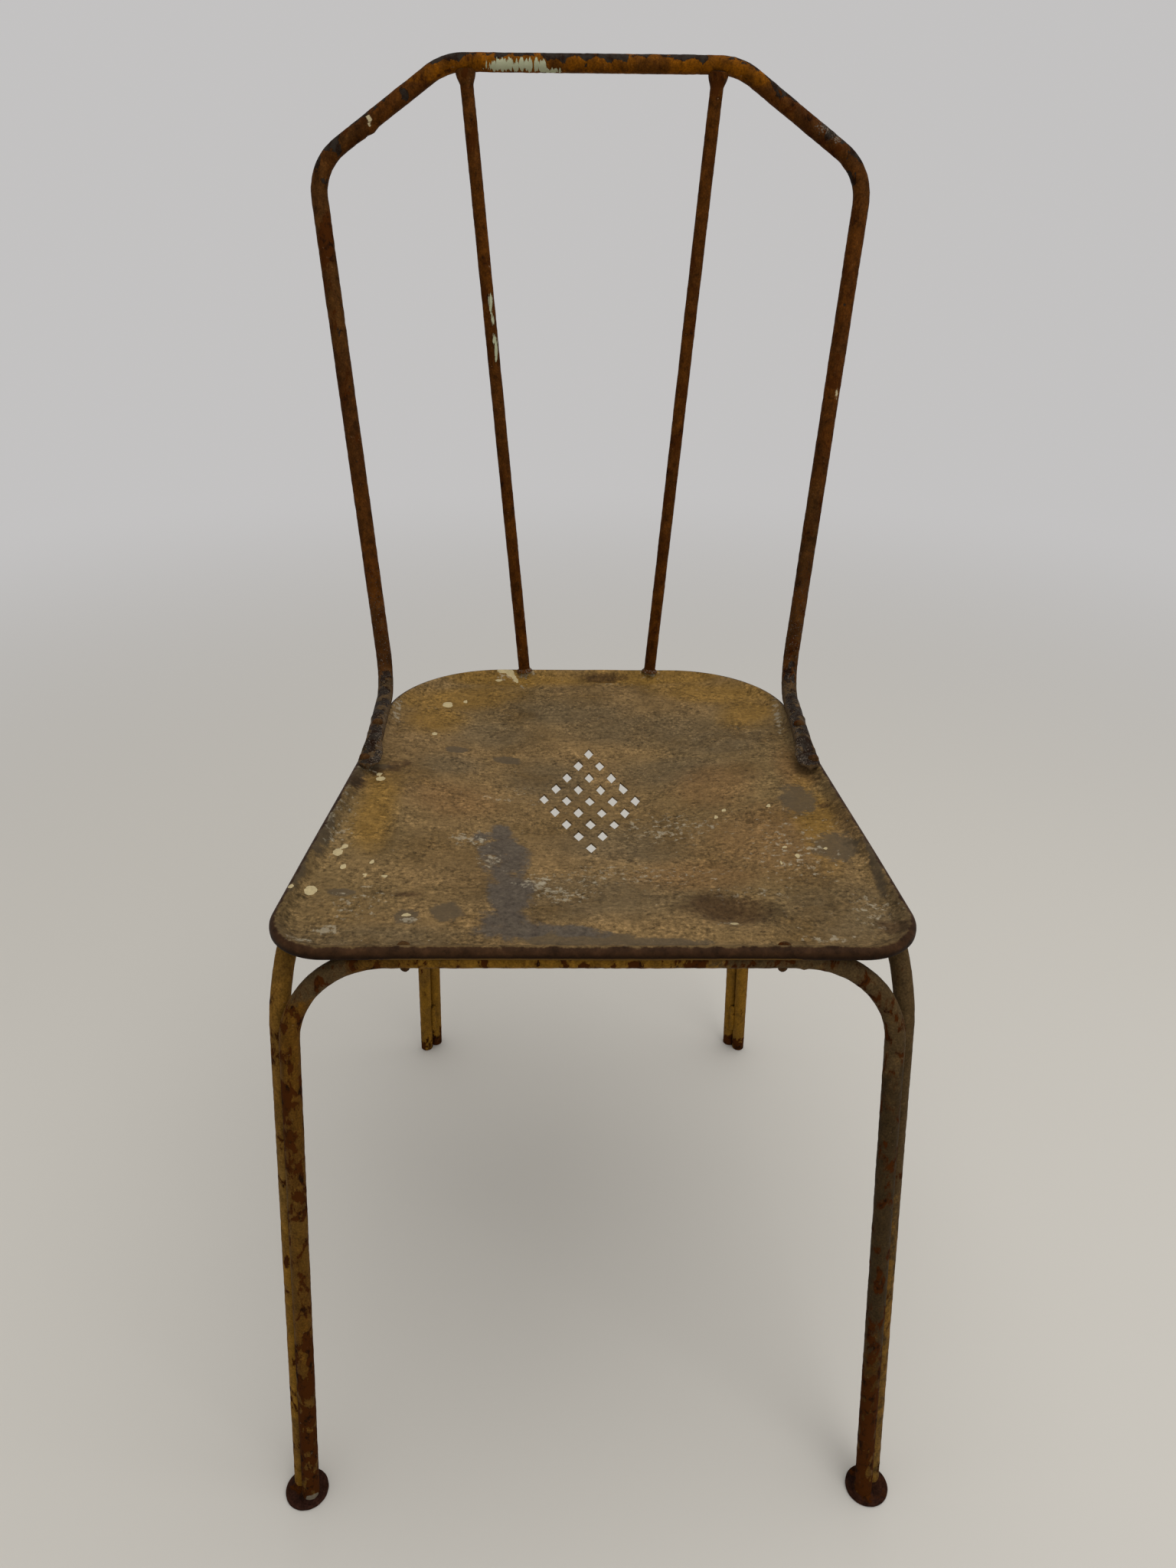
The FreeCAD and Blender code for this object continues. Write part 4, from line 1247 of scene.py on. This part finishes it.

# %% [markdown]
# ## Marks on the seat
# Each mark is a flat oval on the sheet: its middle, its half width and half length in millimetres,
# and a turn in degrees where it lies askew. The ovals overlap into the uneven patches of the real
# seat, and the noise in the finish breaks up their borders. The dent ovals are painted shade in the
# dents; at the front dent two rust ovals paint its stain together with shade, and one pale and one
# cream oval paint a highlight on its front wall.

# %% Marks on the seat
MARK_HEIGHT, MARK_DEPTH = 448, 60
# dent ovals: painted shade; rust at 80 -163 and 68 -156: rust stain and painted shade in the front dent; pale
# at 79 -176 and cream at 82 -176: painted highlight on that dent's front wall
SEAT_MARKS = """
slate: -71 -70 9 8, -61 -66 8 12, -58 -82 13 16, -54 -100 14 16, -51 -118 13 16, -49 -136 12 16,
    -50 -156 12 16, -52 -174 14 12, -42 -187 24 8, -10 -189 18 6;
worn: 144 -30 12 20, 157 -94 14 17 -10, -86 -167 9 10, -109 -173 7 8, -100 55 8 5, -10 -196 36 7,
    34 -200 30 5, -62 46 10 6, -178 -62 8 44 5, -170 -4 9 16 5, -183 -124 7 30 4, -150 -148 8 4,
    179 -90 4 60 -5, -158 16 16 5 10;
grey: -76 84 34 22, -101 30 24 16, 96 70 36 22, 40 95 60 26, -30 20 30 30, -20 120 60 20, 0 -150 60 26,
    60 30 40 24, 20 -80 40 30, 150 -170 40 30, -120 -195 50 12;
orange: 120 -80 46 44, 150 16 14 34, -96 -23 30 24, 90 0 30 30, 70 -120 40 20;
ochre: -120 104 22 26 20, -106 142 44 20 20, 105 154 48 20 -20, 128 118 20 26 -20, -60 180 60 12,
    60 184 60 12, -146 -50 14 50, 150 -60 12 50;
rust: -142 18 6 8, -152 9 5 7, -164 -12 6 9, -134 26 4 5, 1 195 3 3, 80 -163 24 16 -10, 68 -156 12 9,
    14 183 18 5, 160 -40 4 3, -112 -148 8 3, 172 -186 10 7 -30;
dent: 73 -158 20 12 -15, 100 -166 14 9 10, 2 181 12 5, 22 184 12 4;
scuff: 92 -146 28 9, 57 -54 40 20, 62 -60 18 8, -73 -72 10 14, -66 -98 8 16, -26 -127 14 8,
    -14 -147 20 8, -49 2 14 8, 20 -120 60 14, 130 -90 30 40, -168 -60 12 50, -140 -160 20 16,
    165 -170 14 20, -60 -15 20 6, 96 -147 26 6;
pale: -152 112 3 20 4, 151 104 3 26 -4, 79 -176 7 4 15, -34 -130 12 8, -24 -138 10 6, -80 -74 12 8,
    -152 -187 7 5, -107 -177 6 3.5, -58 172 16 2 -55, -72 184 6 4, -51 190 8 6, 56 188 9 5,
    -160 8 14 2.5, 16 174 14 2, -130 -141 10 1.8, -70 -80 6 6, -30 -126 9 3, -14 -143 12 4,
    -165 -200 6 4, 133 -196 14 3;
cream: -114 130 4.2 5.2, -100 137 1.9 2.6, -119 77 2.2 3, -149 -1 3.2 3.6 20, -151 6 2 2.4,
    -169 -147 3.8 5, -161 -102 3.2 4.4, -158 -95 2.2 3, -154.5 -119 2 3.4, -138 -112 1.6 2.4,
    -180 -150 2 2.4, -72 190 5 2.6, -66 188 4 3 -40, -61 181 2 7 22, -75 180 3 2, 131 -103 1.8 2.6,
    122.5 -36 1.5 2.2, 125 -91 1.5 2.2, 92 -36 1.6 2.2, 86 -44 1.5 2.2, 150 -96 1.5 2, 120 -110 1.5 2,
    -128 -128 1.6 2.2, -140 -128 1.6 2.2, 82 -176 3 2.6 35, -109 -171 3 2
"""

for row in SEAT_MARKS.split(";"):
    mark_name, ovals = row.split(":")
    ovals = [[float(number) for number in oval.split()] for oval in ovals.split(",")]
    paint(seat_mesh, mark_name.strip(), [((x, y, MARK_HEIGHT), (wide, long, MARK_DEPTH), *turn)
                                         for x, y, wide, long, *turn in ovals])
    print(len(ovals), "ovals of", mark_name.strip())

# %% [markdown]
# ## The finished seat
# Only now does the single layer of faces get its thickness. The holes then have walls and the lip
# has an edge, and the marks go along to the new faces by themselves.

# %% Thickness
bmesh.ops.solidify(seat_mesh, geom=seat_mesh.faces[:], thickness=SHEET * MM)
keep(seat_mesh, "seat_sheet", seat_paint, ["seat_pan"], smooth_angle=60)
